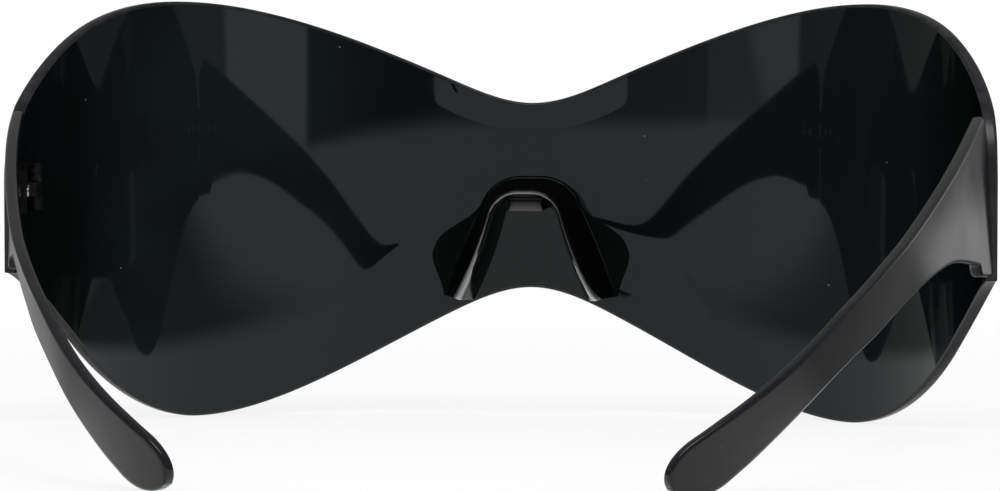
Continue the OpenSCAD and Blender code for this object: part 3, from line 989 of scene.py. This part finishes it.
@dataclass
class NoseSaddle:
    """The moulded nose saddle: a bridge and two legs, skinned over rings along a U.

    A place along the U is 0 in the middle, 1 at the end of the flat, 2 past the shoulder and 3 at
    the leg's end, and negative on the left. Fillets and painted highlights go by the corners of a ring.
    """

    lens: ShieldLens
    height: float = 12.3
    top: float = 38.0
    drop: float = 1.2
    under: float = 33.1
    low: float = 18.2
    edge_bend: tuple[float, ...] = (1.0, 5.0, 16.0, 29.0)
    root_bend: tuple[float, ...] = (1.8, 6.5, 26.0, 18.0)
    inner_bend: tuple[float, ...] = (2.8, 1.4, 13.0, 27.0)
    lifts: Triple = (0.4, 0.5, -0.3)
    edge_t: float = 0.65
    edge_share: float = 0.8
    tongue_t: float = 1.15
    lip: float = 3.0
    lip_rise: float = 0.03
    step: float = 0.67
    step_end: float = 0.35
    wall_foot: Pair = (0.06, 0.2)
    leg_round: float = 0.6
    leg_end: float = 0.5
    wing_t: float = 0.7
    wing_thin: float = 0.8
    wing_steps: Triple = (0.1, 0.15, 0.25)
    wing_reach: float = 4.1
    wing_shares: tuple[float, ...] = (0.05, 0.55, 0.62, 1.04)
    bond: float = 0.02
    leg_out: float = 70.0
    fillets: tuple[float, ...] = (0.2, 0.35, 0.25, 0.3, 0.3, 0.3, 0.35, 0.5, 0.4, 0.25, 0.05)
    fillet_points: int = 4
    # Shares of painted highlight at the corners of a ring: how much of the strongly reflecting finish each
    # corner gets.
    polish: tuple[tuple[float, ...], ...] = (
        (0, 0, 0, 0), (0, 0, 0, 0), (0, 0.05, 0.15, 0.4), (1, 1, 1, 1), (1, 0.7, 0.4, 0.25),
        (0.2, 0.15, 0.15, 0.15), (0.15, 0.1, 0, 0), (0, 0.7, 1, 1), (0.4, 0, 0, 0), (0, 0, 0, 0),
        (0, 0, 0, 0))
    back_corners: int = 2
    # Painted highlight on the back corners near the middle, fading out along the U.
    back_polish: float = 0.4
    back_fade: Pair = (0.9, 0.4)
    wing_corners: int = 3
    # Where along the legs the wings' painted reflection fades in.
    wing_fade: float = 1.6
    leg_rings: int = 48
    leg_crowding: float = 1.3
    shoulder_rings: int = 28
    flat_rings: int = 6
    crease: float = 50.0

    @staticmethod
    def share(a: float, b: float, x: float) -> float:
        """Eases from 0 at a to 1 at b."""
        return float(smooth((x - a) / (b - a)))

    @staticmethod
    def u_point(bend: Sequence[float], top: float, low: float, w: float) -> np.ndarray:
        """A point of a U in the upright plane.

        Args:
            bend: Half flat, shoulder radius, and lean at the shoulder and at the leg's end.
            top: Height of the U's top.
            low: Height of the leg's end.
            w: Place along the U.

        Returns:
            The point, as X and Z.
        """
        a, k = abs(w), -1.0 if w < 0 else 1.0
        first, last = math.radians(bend[2]), math.radians(bend[3])
        b = min(1.0, max(0.0, a - 1)) * (math.pi / 2 - first)
        c = max(0.0, a - 2)
        x = min(1.0, a) * bend[0] + bend[1] * math.sin(b)
        z = top - bend[1] * (1 - math.cos(b))
        if c <= 0:
            return np.array([k * x, z])
        r = (z - low) / (math.sin(last) - math.sin(first))
        n = math.asin(math.sin(first) + c * (math.sin(last) - math.sin(first)))
        return np.array([k * (x + r * (math.cos(first) - math.cos(n))), z - c * (z - low)])

    def lift(self, p: np.ndarray, h: float) -> np.ndarray:
        """A point at height h off the inner face of the lens, from its X and Z."""
        s = math.asin(p[0] / self.lens.centre_r) * self.lens.centre_r
        return np.array([p[0], float(self.lens.point(s, 0, 0)[1]) - h, p[1]])

    def ring(self, w: float) -> np.ndarray:
        """Section of the saddle at a place along the U.

        Args:
            w: The place.

        Returns:
            The section's points, with rounded corners.
        """
        a = abs(w)
        e = self.u_point(self.edge_bend, self.top - self.drop - self.edge_t / 2, self.low + self.lifts[0], w)
        r = self.u_point(self.root_bend, self.top, self.low + self.lifts[1], w)
        i = self.u_point(self.inner_bend, self.under, self.low + self.lifts[2], w)
        ease = self.share(1, 3, a)
        t = (self.edge_t * (1 - ease) + self.tongue_t * ease) / 2
        q = max(0.0, a - 2 - self.leg_round) / (1 - self.leg_round)
        h = self.height * (self.leg_end + (1 - self.leg_end) * math.sqrt(max(0.0, 1 - q * q)))
        turn = math.radians(min(1.0, max(0.0, a - 1)) * self.leg_out)
        n = np.array([math.copysign(math.sin(turn), w), math.cos(turn)])
        w0, w1, w2, w3 = self.wing_shares
        g = self.wing_reach * self.share(w0, w1, a - 2) * (1 - self.share(w2, w3, a - 2))
        c, k = t * self.edge_share, 1 - float(smooth((a - 1) / self.step_end))
        inner = e - n * t
        body = 1 - self.lip / self.height
        top = body + self.lip_rise
        wall, foot = self.wall_foot
        root, wing, rim = self.wing_steps
        points = [
            self.lift(i, self.bond),
            self.lift(i + (inner - i) * (1 - k) * body, h * body),
            self.lift(i + (inner - i) * (self.step * k + (1 - k) * top), h * top),
            self.lift(inner, h - c),
            self.lift(e - n * (t - c), h),
            self.lift(e + n * (t - c), h),
            self.lift(e + n * t, h - c),
            self.lift(r + (e - r) * wall, self.wing_t + foot),
            self.lift(r + n * root, self.wing_t),
            self.lift(r + n * (wing + g), self.wing_t * self.wing_thin),
            self.lift(r + n * (rim + g), self.bond)]
        return rounded(np.array(points), self.fillets, self.fillet_points)

    def mark_finish(self, mesh: bpy.types.Mesh, stations: np.ndarray) -> None:
        """Marks the edges of painted highlight and the wings of painted reflection for the finish.

        Args:
            mesh: The saddle's mesh.
            stations: Places of its rings.
        """
        corners = np.repeat(np.arange(len(self.fillets)), self.fillet_points)
        back, wing = corners < self.back_corners, corners >= len(self.fillets) - self.wing_corners
        w = np.abs(stations)[:, None]
        start, length = self.back_fade
        # Painted highlights: the share of the strongly reflecting finish at each point.
        highlight_shares = np.maximum(np.ravel(self.polish),
                           back * self.back_polish * (1 - smooth((w - start) / length)))
        mark(mesh, "polish", "FLOAT", "POINT", highlight_shares.ravel())
        # Painted reflection: a paler tone on the wings, fading in along the legs.
        mark(mesh, "wing", "FLOAT", "POINT", (wing * smooth(w - self.wing_fade)).ravel())

    def build(self, posture: Posture) -> bpy.types.Object:
        """Builds the saddle and puts it in the place of its solid.

        Args:
            posture: How the glasses stand.

        Returns:
            The saddle.
        """
        leg = 3 - np.linspace(0, 1, self.leg_rings)[:-1] ** self.leg_crowding
        shoulder = np.linspace(2, 1, self.shoulder_rings)[:-1]
        half = np.concatenate([leg, shoulder, np.linspace(1, 0, self.flat_rings)[:-1]])
        stations = np.concatenate([-half, [0.0], half[::-1]])
        points, faces = shell(np.array([self.ring(w) for w in stations]))
        made = piece("saddle", posture.place(points), faces, self.crease)
        made.data.materials.append(MouldedBlack().material())
        self.mark_finish(made.data, stations)
        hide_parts("nose_saddle")
        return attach(made, "front")


@dataclass
class SideArm:
    """A side arm: a thin bar with rounded edges, skinned over sections along its length.

    Its lines run from the hinge over two places between to the tip, and t is the distance behind
    the lens's end edge.
    """

    lens: ShieldLens
    side: Side
    back: float = 113.1
    thick: float = 1.9
    edge_round: float = 0.55
    inset: float = 0.19
    bow_at: Pair = (40.0, 80.0)
    bow_in: Pair = (6.8, 18.0)
    tip_in: float = 40.25
    in_slopes: tuple[float, ...] = (0.13, 0.211, 0.384, 1.247)
    neck_at: Pair = (30.0, 60.0)
    tops: tuple[float, ...] = (52.4, 45.1, 36.3, 9.4)
    top_falls: tuple[float, ...] = (0.165, 0.283, 0.307, 0.786)
    lows: tuple[float, ...] = (28.3, 30.5, 25.1, 2.5)
    low_falls: tuple[float, ...] = (-0.021, 0.068, 0.286, 0.867)
    lean: float = 3.0
    splay: float = 12.7
    swing: float = 0.5
    gap: float = 0.25
    front_corner: Pair = (5.0, 6.0)
    foot: Triple = (1.6, 8.2, 2.0)
    tip_round: float = 4.7
    tip_blunt: float = 0.08
    skew: float = 0.7
    skew_at: Pair = (75.0, 30.0)
    hinge: Pair = (3.2, 1.6)
    sections: int = 220
    end_bevel: float = 0.15
    end_turns: tuple[float, ...] = (0, 25, 50, 70)
    least_height: float = 0.5
    least_step: float = 0.02
    round_turns: tuple[float, ...] = (90, 67.5, 45, 22.5, 0)
    round_limit: float = 2.2
    face_shares: tuple[float, ...] = (0.02, 0.25, 0.5, 0.75, 0.98)
    crease: float = 40.0

    def _nodes(self, values: Sequence[float], slopes: Sequence[float], inner: Sequence[float]) -> Nodes:
        """Nodes of a line of the arm, from the hinge to the tip."""
        places = (0.0, inner[0], inner[1], self.back)
        return [(p, v, -f) for p, v, f in zip(places, values, slopes)]

    def plan(self, t: Any) -> Any:
        """Distance of the arm's middle from the middle plane.

        Args:
            t: Distance behind the lens's end edge.

        Returns:
            The distance.
        """
        front = self.lens.end_x - self.inset
        values = [front, front - self.bow_in[0], front - self.bow_in[1], front - self.tip_in]
        return hermite(self._nodes(values, self.in_slopes, self.bow_at), t)

    def edges(self, t: Any) -> tuple[Any, Any]:
        """Heights of the lower and the upper line, before the ends' rounding."""
        return (hermite(self._nodes(self.lows, self.low_falls, self.neck_at), t),
                hermite(self._nodes(self.tops, self.top_falls, self.neck_at), t))

    def span(self, t: Any) -> tuple[Any, Any]:
        """Heights of the arm's edges.

        Args:
            t: Distance behind the lens's end edge.

        Returns:
            The heights of the lower and the upper edge.
        """
        low, top = self.edges(t)
        q = np.clip((t - self.back + self.tip_round) / self.tip_round, 0, 1)
        half = (top - low) / 2 * np.maximum(self.tip_blunt, np.sqrt(1 - q * q))
        middle = (top + low) / 2
        length, height = self.front_corner
        depth, reach, ease = self.foot
        return (middle - half - depth * (1 - smooth((t - reach) / ease + 0.5)),
                middle + half - corner(length, height, length - t + self.gap))

    def point(self, t: Any, d: Any, z: Any) -> np.ndarray:
        """Points of the arm, as the right one.

        Args:
            t: Distance behind the lens's end edge.
            d: Distance through the arm towards the outside.
            z: Height.

        Returns:
            The points, in rows.
        """
        low, top = self.edges(t)
        up = z - (low + top) / 2
        w = t + up * self.skew * np.clip((t - self.skew_at[0]) / self.skew_at[1], 0, 1)
        near = 0.01
        slope = (self.plan(w + near) - self.plan(w - near)) / (2 * near)
        across = 1 / np.sqrt(1 + slope * slope)
        tilt = self.lean - (self.lean + self.splay) * np.clip(t / self.neck_at[1], 0, 1)
        e = d - up * np.tan(np.radians(tilt))
        return np.stack([self.plan(w) + e * across, -w + e * slope * across, z + 0 * w], -1)

    def set_side(self, points: np.ndarray) -> np.ndarray:
        """Swings points of the right arm about its hinge and puts them on the arm's own side.

        Args:
            points: Points of the right arm.

        Returns:
            The points on this arm's side.
        """
        pivot = np.array([self.lens.end_x - self.hinge[0], -self.hinge[1], 0])
        a = math.radians(self.swing * self.side.value)
        turn = np.array([[math.cos(a), -math.sin(a), 0], [math.sin(a), math.cos(a), 0], [0, 0, 1]])
        return ((points - pivot) @ turn.T + pivot) * np.array([self.side.value, 1, 1])

    def section(self, t: float) -> np.ndarray:
        """Rounded section of the arm.

        Args:
            t: Distance behind the lens's end edge.

        Returns:
            The section's points.
        """
        low, top = (float(q) for q in self.span(t))
        near = max(0.0, self.gap + self.end_bevel - t, t - self.back + self.end_bevel) / self.end_bevel
        inset = self.end_bevel * (1 - math.sqrt(max(0.0, 1 - near * near)))
        d = self.thick / 2 - inset
        low, top = low + inset, top - inset
        least = self.least_height
        if top - low < least:
            low, top = (low + top) / 2 - least / 2, (low + top) / 2 + least / 2
        r = self.edge_round
        q = min(r, (top - low) / self.round_limit)
        run = (top - q) - (low + q)
        ring = []
        for x, z, start in ((-d + r, low + q, 180), (-d + r, top - q, 90), (d - r, top - q, 0),
                            (d - r, low + q, -90)):
            for a in np.radians(start + np.array(self.round_turns)):
                ring.append((x + r * math.cos(a), z + q * math.sin(a)))
            if start == 180:
                ring += [(-d, low + q + run * f) for f in self.face_shares]
            if start == 0:
                ring += [(d, top - q - run * f) for f in self.face_shares]
        table = np.array(ring)
        return self.point(np.full(len(table), t), table[:, 0], table[:, 1])

    def build(self, posture: Posture) -> bpy.types.Object:
        """Builds the arm and puts it in the place of its solid.

        Args:
            posture: How the glasses stand.

        Returns:
            The arm.
        """
        wave = (1 - np.cos(np.pi * np.linspace(0, 1, self.sections + 1))) / 2
        t = self.gap + (self.back - self.gap) * wave
        bevel = self.end_bevel * np.sin(np.radians(self.end_turns))
        t = np.unique(np.concatenate([t, self.gap + bevel, self.back - bevel]).round(5))
        keep = [t[0]]
        for q in t[1:]:
            if q - keep[-1] > self.least_step:
                keep.append(q)
        points, faces = shell(np.array([self.section(float(q)) for q in keep]))
        points = self.set_side(points)
        made = piece(f"{self.side.word}_arm", posture.place(points), outward(points, faces), self.crease)
        made.data.materials.append(SatinArm().material())
        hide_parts(f"{self.side.word}_temple")
        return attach(made, f"{self.side.word}_arm")


@dataclass
class Hinges:
    """The barrel hinges: their plates and pins are the solids, their small screws are set by nodes."""

    lens: ShieldLens
    height: float = 39.4
    plate_l: float = 8.6
    plate_t: float = 0.8
    base_margin: float = 0.9
    leaf_margin: float = 2.6
    pitch: float = 3.6
    off: float = 1.2
    seat: float = 0.03
    head_r: float = 0.85
    head_h: float = 0.4
    head_dome: tuple[Pair, ...] = ((1, 0.45), (0.95, 0.7), (0.75, 0.9), (0.4, 0.985), (0.1, 1))
    head_foot: Pair = (0.9, 0.06)
    shank_r: float = 0.5
    shank_l: float = 1.2
    shank_ends: Pair = (0.8, 1.04)
    shank_point: Pair = (0.15, 0.03)
    sides: int = 28
    slot_w: float = 0.22
    slot_reach: float = 3.0
    slot_turn: float = 0.7
    crease: float = 30.0

    def screw_blank(self) -> bpy.types.Object:
        """One small screw without its slot: a domed head with a chamfer on a shank.

        Returns:
            The screw, with its seat at the origin and its head up.
        """
        r, s, tip = self.head_r, self.shank_r, -self.shank_l - self.plate_t
        profile = [(s * self.shank_ends[0], tip + self.seat), (s, tip + self.shank_point[0]),
                   (s, -self.shank_point[1]), (s * self.shank_ends[1], 0.0),
                   (r * self.head_foot[0], 0.0), (r, self.head_foot[1])]
        profile += [(r * out, self.head_h * up) for out, up in self.head_dome]
        turn = np.linspace(0, 2 * math.pi, self.sides + 1)[:-1]
        rings = np.array([[(q * math.cos(a), q * math.sin(a), z) for a in turn] for q, z in profile])
        points, faces = shell(rings)
        return piece("screw_blank", points * MM, faces, self.crease)

    def screw_tree(self) -> bpy.types.NodeTree:
        """Geometry Nodes that slot a screw and set a copy of it on every point.

        Returns:
            The tree.
        """
        graph, want = new_tree("set_screws", {
            "Screw": "Object", "Head radius": "Float", "Head height": "Float", "Slot width": "Float",
            "Finish": "Material"})
        screw = graph.node("GeometryNodeObjectInfo", None, {"Object": want["Screw"]}, "Geometry")
        size = graph.join(want["Head radius"] * self.slot_reach, want["Slot width"], want["Head height"])
        cutter = graph.node("GeometryNodeMeshCube", None, {"Size": size})
        cutter = graph.node("GeometryNodeTransform", None,
                            {"Geometry": cutter, "Translation": graph.join(0.0, 0.0, want["Head height"])})
        cut = graph.node("GeometryNodeMeshBoolean", {"operation": "DIFFERENCE", "solver": "EXACT"},
                         {0: screw, 1: cutter})
        turn = graph.node("GeometryNodeInputNamedAttribute", {"data_type": "FLOAT_VECTOR"}, {"Name": "turn"})
        turn = graph.node("FunctionNodeEulerToRotation", None, {0: turn})
        copies = graph.node("GeometryNodeInstanceOnPoints", None,
                            {"Points": want["Geometry"], "Instance": cut, "Rotation": turn})
        body = graph.node("GeometryNodeRealizeInstances", None, {"Geometry": copies})
        body = graph.node("GeometryNodeSetMaterial", None, {"Geometry": body, "Material": want["Finish"]})
        graph.node("NodeGroupOutput", None, {"Geometry": body})
        return graph.tree

    def places(self, arm: SideArm, on_arm: bool, posture: Posture) -> tuple[np.ndarray, np.ndarray]:
        """Seats and turns of a plate's two screws.

        Args:
            arm: The arm on the plate's side.
            on_arm: True for the plate on the arm, False for the plate on the lens.
            posture: How the glasses stand.

        Returns:
            The seats in metres, and the turns as Euler angles.
        """
        seats, turns = [], []
        rise, height = self.plate_t + self.seat, np.full(2, self.height)
        for k in (-0.5, 0.5):
            if on_arm:
                t = self.leaf_margin + self.plate_l / 2 + self.off + k * self.pitch
                d = np.array([-arm.thick / 2, -arm.thick / 2 - rise])
                pair = arm.set_side(arm.point(np.full(2, t), d, height))
            else:
                s = self.lens.half_arc - self.base_margin - self.plate_l / 2 - self.off + k * self.pitch
                pair = self.lens.point(np.full(2, s), np.array([0.0, -rise]), height)
                pair = pair * np.array([arm.side.value, 1, 1])
            foot, seat = posture.place(pair)
            upright = Vector(seat - foot).normalized().to_track_quat("Z", "Y")
            spin = Matrix.Rotation(self.slot_turn + k, 3, "Z").to_quaternion()
            turns.append(tuple((upright @ spin).to_euler()))
            seats.append(seat)
        return np.array(seats), np.array(turns)

    def build(self, arms: dict[Side, SideArm], posture: Posture) -> list[bpy.types.Object]:
        """Sets the small screws in the places of their solids.

        Args:
            arms: The arms by side.
            posture: How the glasses stand.

        Returns:
            The pairs of screws.
        """
        blank, tree, made = self.screw_blank(), self.screw_tree(), []
        for side, arm in arms.items():
            for kind, body in (("base", "front"), ("leaf", f"{side.word}_arm")):
                seats, turns = self.places(arm, kind == "leaf", posture)
                mesh = bpy.data.meshes.new(f"{side.word}_{kind}_screw_pair")
                mesh.from_pydata(seats.tolist(), [], [])
                mark(mesh, "turn", "FLOAT_VECTOR", "POINT", turns.ravel())
                pair = add_object(mesh.name, mesh)
                bake(pair, tree, {
                    "Screw": blank, "Head radius": self.head_r * MM, "Head height": self.head_h * MM,
                    "Slot width": self.slot_w * MM, "Finish": TurnedSteel().material()})
                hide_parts(f"{side.word}_{kind}_screws")
                made.append(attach(pair, body))
        bpy.data.objects.remove(blank)
        return made

    def dress(self, nodes: dict[str, bpy.types.Object]) -> None:
        """Gives the carried-over plates and pins their finishes.

        Args:
            nodes: The frame's nodes by name.
        """
        for name, node in nodes.items():
            if name.endswith(("hinge_base", "hinge_leaf", "hinge_screw")):
                node.data.materials.clear()
                node.data.materials.append(BlackenedMetal().material())


# ---------------------------------------------------------------- studio


@dataclass(frozen=True)
class Verge:
    """A soft straight edge on the table: the shares of X and Y in it, and where it starts and ends."""

    x: float
    y: float
    start: float
    end: float

    def across(self, graph: Graph, x: Signal, y: Signal) -> Signal:
        """Eases from 0 to 1 across the edge."""
        return graph.ramp(x * self.x + y * self.y, self.start, self.end)


@dataclass
class Studio:
    """Table, light and camera. What the table shows in reflections is in millimetres on it."""

    eye: Triple = (104.0, -989.1, 105.5)
    aim: Triple = (0.5, 0.0, 30.9)
    focal_share: float = 6.441
    sensor: float = 36.0
    clip: Pair = (0.01, 100.0)
    floor_half: float = 12.0
    floor_white: float = 0.97
    shadow_share: float = 0.2
    shadow_reach: Pair = (180.0, 420.0)
    ambient: float = 0.72
    above: float = 0.25
    lamp_at: Triple = (0.04, -0.26, 0.60)
    lamp_to: Triple = (0.0, 0.0, 0.03)
    lamp_size: Pair = (0.5, 0.2)
    lamp_power: float = 1.5
    dim_side: float = 0.86
    dim_verges: tuple[Verge, Verge] = (Verge(1, 0, 45, 95), Verge(0, 1, -95, 12))
    wedge: tuple[Verge, Verge] = (Verge(1, -0.325, 78, 96), Verge(0, 1, 170, 260))
    wedge_share: float = 0.6
    left_ease: float = 0.2
    left_verge: Verge = Verge(1, 0, 0, -40)
    near_bows: Pair = (0.0016, 0.0006)
    near_edge: float = 445.0
    near_span: Pair = (12.0, -45.0)
    right_verge: Verge = Verge(1, 0.82, 46, 18)
    patch_verge: Verge = Verge(1, -0.77, -42, -14)
    patch_tones: Pair = (0.05, 0.26)
    patch_fade: Verge = Verge(1, 0, 150, -180)
    far: tuple[Verge, Verge] = (Verge(0.407, 0.914, -10, 30), Verge(0.914, -0.407, 680, 780))
    far_share: float = 0.75
    haze_verge: Verge = Verge(1, -0.77, -330, -200)
    haze_share: float = 0.5

    def world(self) -> None:
        """White to the eye, a dimmer room in reflections, and a plain soft light for all else."""
        world = bpy.data.worlds.new("studio")
        bpy.context.scene.world = world
        world.use_nodes = True
        graph = Graph(world.node_tree)
        kind = graph.outputs(graph.node("ShaderNodeLightPath"))
        eye = kind["Is Camera Ray"].larger(kind["Is Transmission Ray"])
        strength = (self.ambient + eye * (1 - self.ambient)
                    - kind["Is Glossy Ray"] * (self.ambient - self.above))
        light = graph.node("ShaderNodeBackground", None, {"Color": rgb(1, 1, 1), "Strength": strength})
        graph.node("ShaderNodeOutputWorld", None, {"Surface": light})

    def pool(self, graph: Graph, x: Signal, y: Signal) -> Signal:
        """How light the table is in reflections: dim sides, a dark patch, a haze and a dim far part.

        Args:
            graph: The table's graph.
            x: Place across, in millimetres.
            y: Place along, in millimetres.

        Returns:
            The lightness.
        """
        out = x.size()
        wedge, side, far = (first.across(graph, out, y) * second.across(graph, out, y)
                            for first, second in (self.wedge, self.dim_verges, self.far))
        side = side * (1 - wedge * self.wedge_share)
        side = side * (1 - self.left_verge.across(graph, x, y) * self.left_ease)
        right, left = x.larger(0.0), (0 - x).larger(0.0)
        near = right * right * self.near_bows[0] + left * left * self.near_bows[1] - self.near_edge
        front = graph.ramp(y - near, *self.near_span) * self.right_verge.across(graph, x, y)
        patch = front * self.patch_verge.across(graph, x, y)
        darkest, palest = self.patch_tones
        tone = self.patch_fade.across(graph, x, y) * (palest - darkest) + darkest
        haze = front * self.haze_verge.across(graph, x, y) * self.haze_share
        return ((1 - side * self.dim_side) * (1 - patch) * (1 - far * self.far_share)
                * (1 - haze * (1 - patch)) + patch * tone)

    def table(self) -> None:
        """A pale table top that keeps the glasses' shadow."""
        h = self.floor_half
        square = np.array([(-h, -h, 0), (h, -h, 0), (h, h, 0), (-h, h, 0)], float)
        top = piece("table_top", square, [[0, 1, 2, 3]])
        material = bpy.data.materials.new("table_white")
        material.use_nodes = True
        graph = Graph(material.node_tree)
        kind = graph.outputs(graph.node("ShaderNodeLightPath"))
        at = graph.place()
        x, y, _ = graph.split(at)
        away = graph.node("ShaderNodeVectorMath", {"operation": "LENGTH"}, {0: at}, "Value")
        fade = (1 - graph.ramp(away, *self.shadow_reach)) * self.shadow_share
        glossy = kind["Is Glossy Ray"]
        lightness = 1 - glossy * (1 - self.pool(graph, x, y))
        matte = graph.node("ShaderNodeBsdfDiffuse", None, {"Color": rgb(*[self.floor_white] * 3)})
        glow = graph.node("ShaderNodeEmission", None, {"Color": lightness, "Strength": 1.0})
        eye = kind["Is Camera Ray"].larger(kind["Is Transmission Ray"]) * (1 - fade)
        both = graph.node("ShaderNodeMixShader", None, {0: eye.larger(glossy), 1: matte, 2: glow})
        graph.node("ShaderNodeOutputMaterial", None, {"Surface": both})
        top.data.materials.append(material)

    def lamp(self) -> None:
        """Hangs the soft key lamp over the wearer's side."""
        data = bpy.data.lights.new("key", "AREA")
        data.shape = "RECTANGLE"
        data.size, data.size_y = self.lamp_size
        data.energy = self.lamp_power
        made = add_object("key", data)
        made.location = self.lamp_at
        ahead = Vector(self.lamp_to) - Vector(self.lamp_at)
        made.rotation_euler = ahead.to_track_quat("-Z", "Y").to_euler()

    def camera(self, posture: Posture) -> None:
        """Puts the camera where the photograph was taken from.

        Args:
            posture: How the glasses stand.
        """
        data = bpy.data.cameras.new("camera")
        data.sensor_width = self.sensor
        data.lens = self.sensor * self.focal_share
        data.clip_start, data.clip_end = self.clip
        made = add_object("camera", data)
        eye, aim = Vector(self.eye), Vector(self.aim)
        ahead = (aim - eye).normalized()
        right = ahead.cross(Vector((0, 0, 1))).normalized()
        up = right.cross(ahead)
        turn = Matrix((right, up, -ahead)).transposed().to_4x4()
        lean = Matrix.Rotation(math.radians(posture.lean), 4, "X")
        made.matrix_world = Matrix.Translation(posture.matrix() @ eye) @ lean @ turn
        bpy.context.scene.camera = made

    def build(self, posture: Posture) -> None:
        """Sets up the camera, the table and the light.

        Args:
            posture: How the glasses stand.
        """
        self.camera(posture)
        self.world()
        self.table()
        self.lamp()
        bpy.context.scene.view_settings.view_transform = "Standard"


def corners(box: Any) -> list[list[float]]:
    """A box's corners as plain lists."""
    return [list(q) for q in box]


def main() -> None:
    """Loads the frame, builds the pieces in order and reports each."""
    logging.basicConfig(level=logging.INFO, format="%(name)s: %(message)s")
    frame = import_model()
    lens = ShieldLens()
    posture = Posture()
    posture.drop = float(lens.point(lens.lobe_low_at, 0, 0)[1]) * math.sin(math.radians(posture.lean))
    Studio().build(posture)
    arms = {side: SideArm(lens, side) for side in Side}
    made = [lens.build(posture), NoseSaddle(lens).build(posture)]
    made += [arm.build(posture) for arm in arms.values()]
    hinges = Hinges(lens)
    made += hinges.build(arms, posture)
    hinges.dress(frame["nodes"])
    for item in made:
        LOG.info("%s: %d faces", item.name, len(item.data.polygons))


if __name__ == "__main__":
    main()
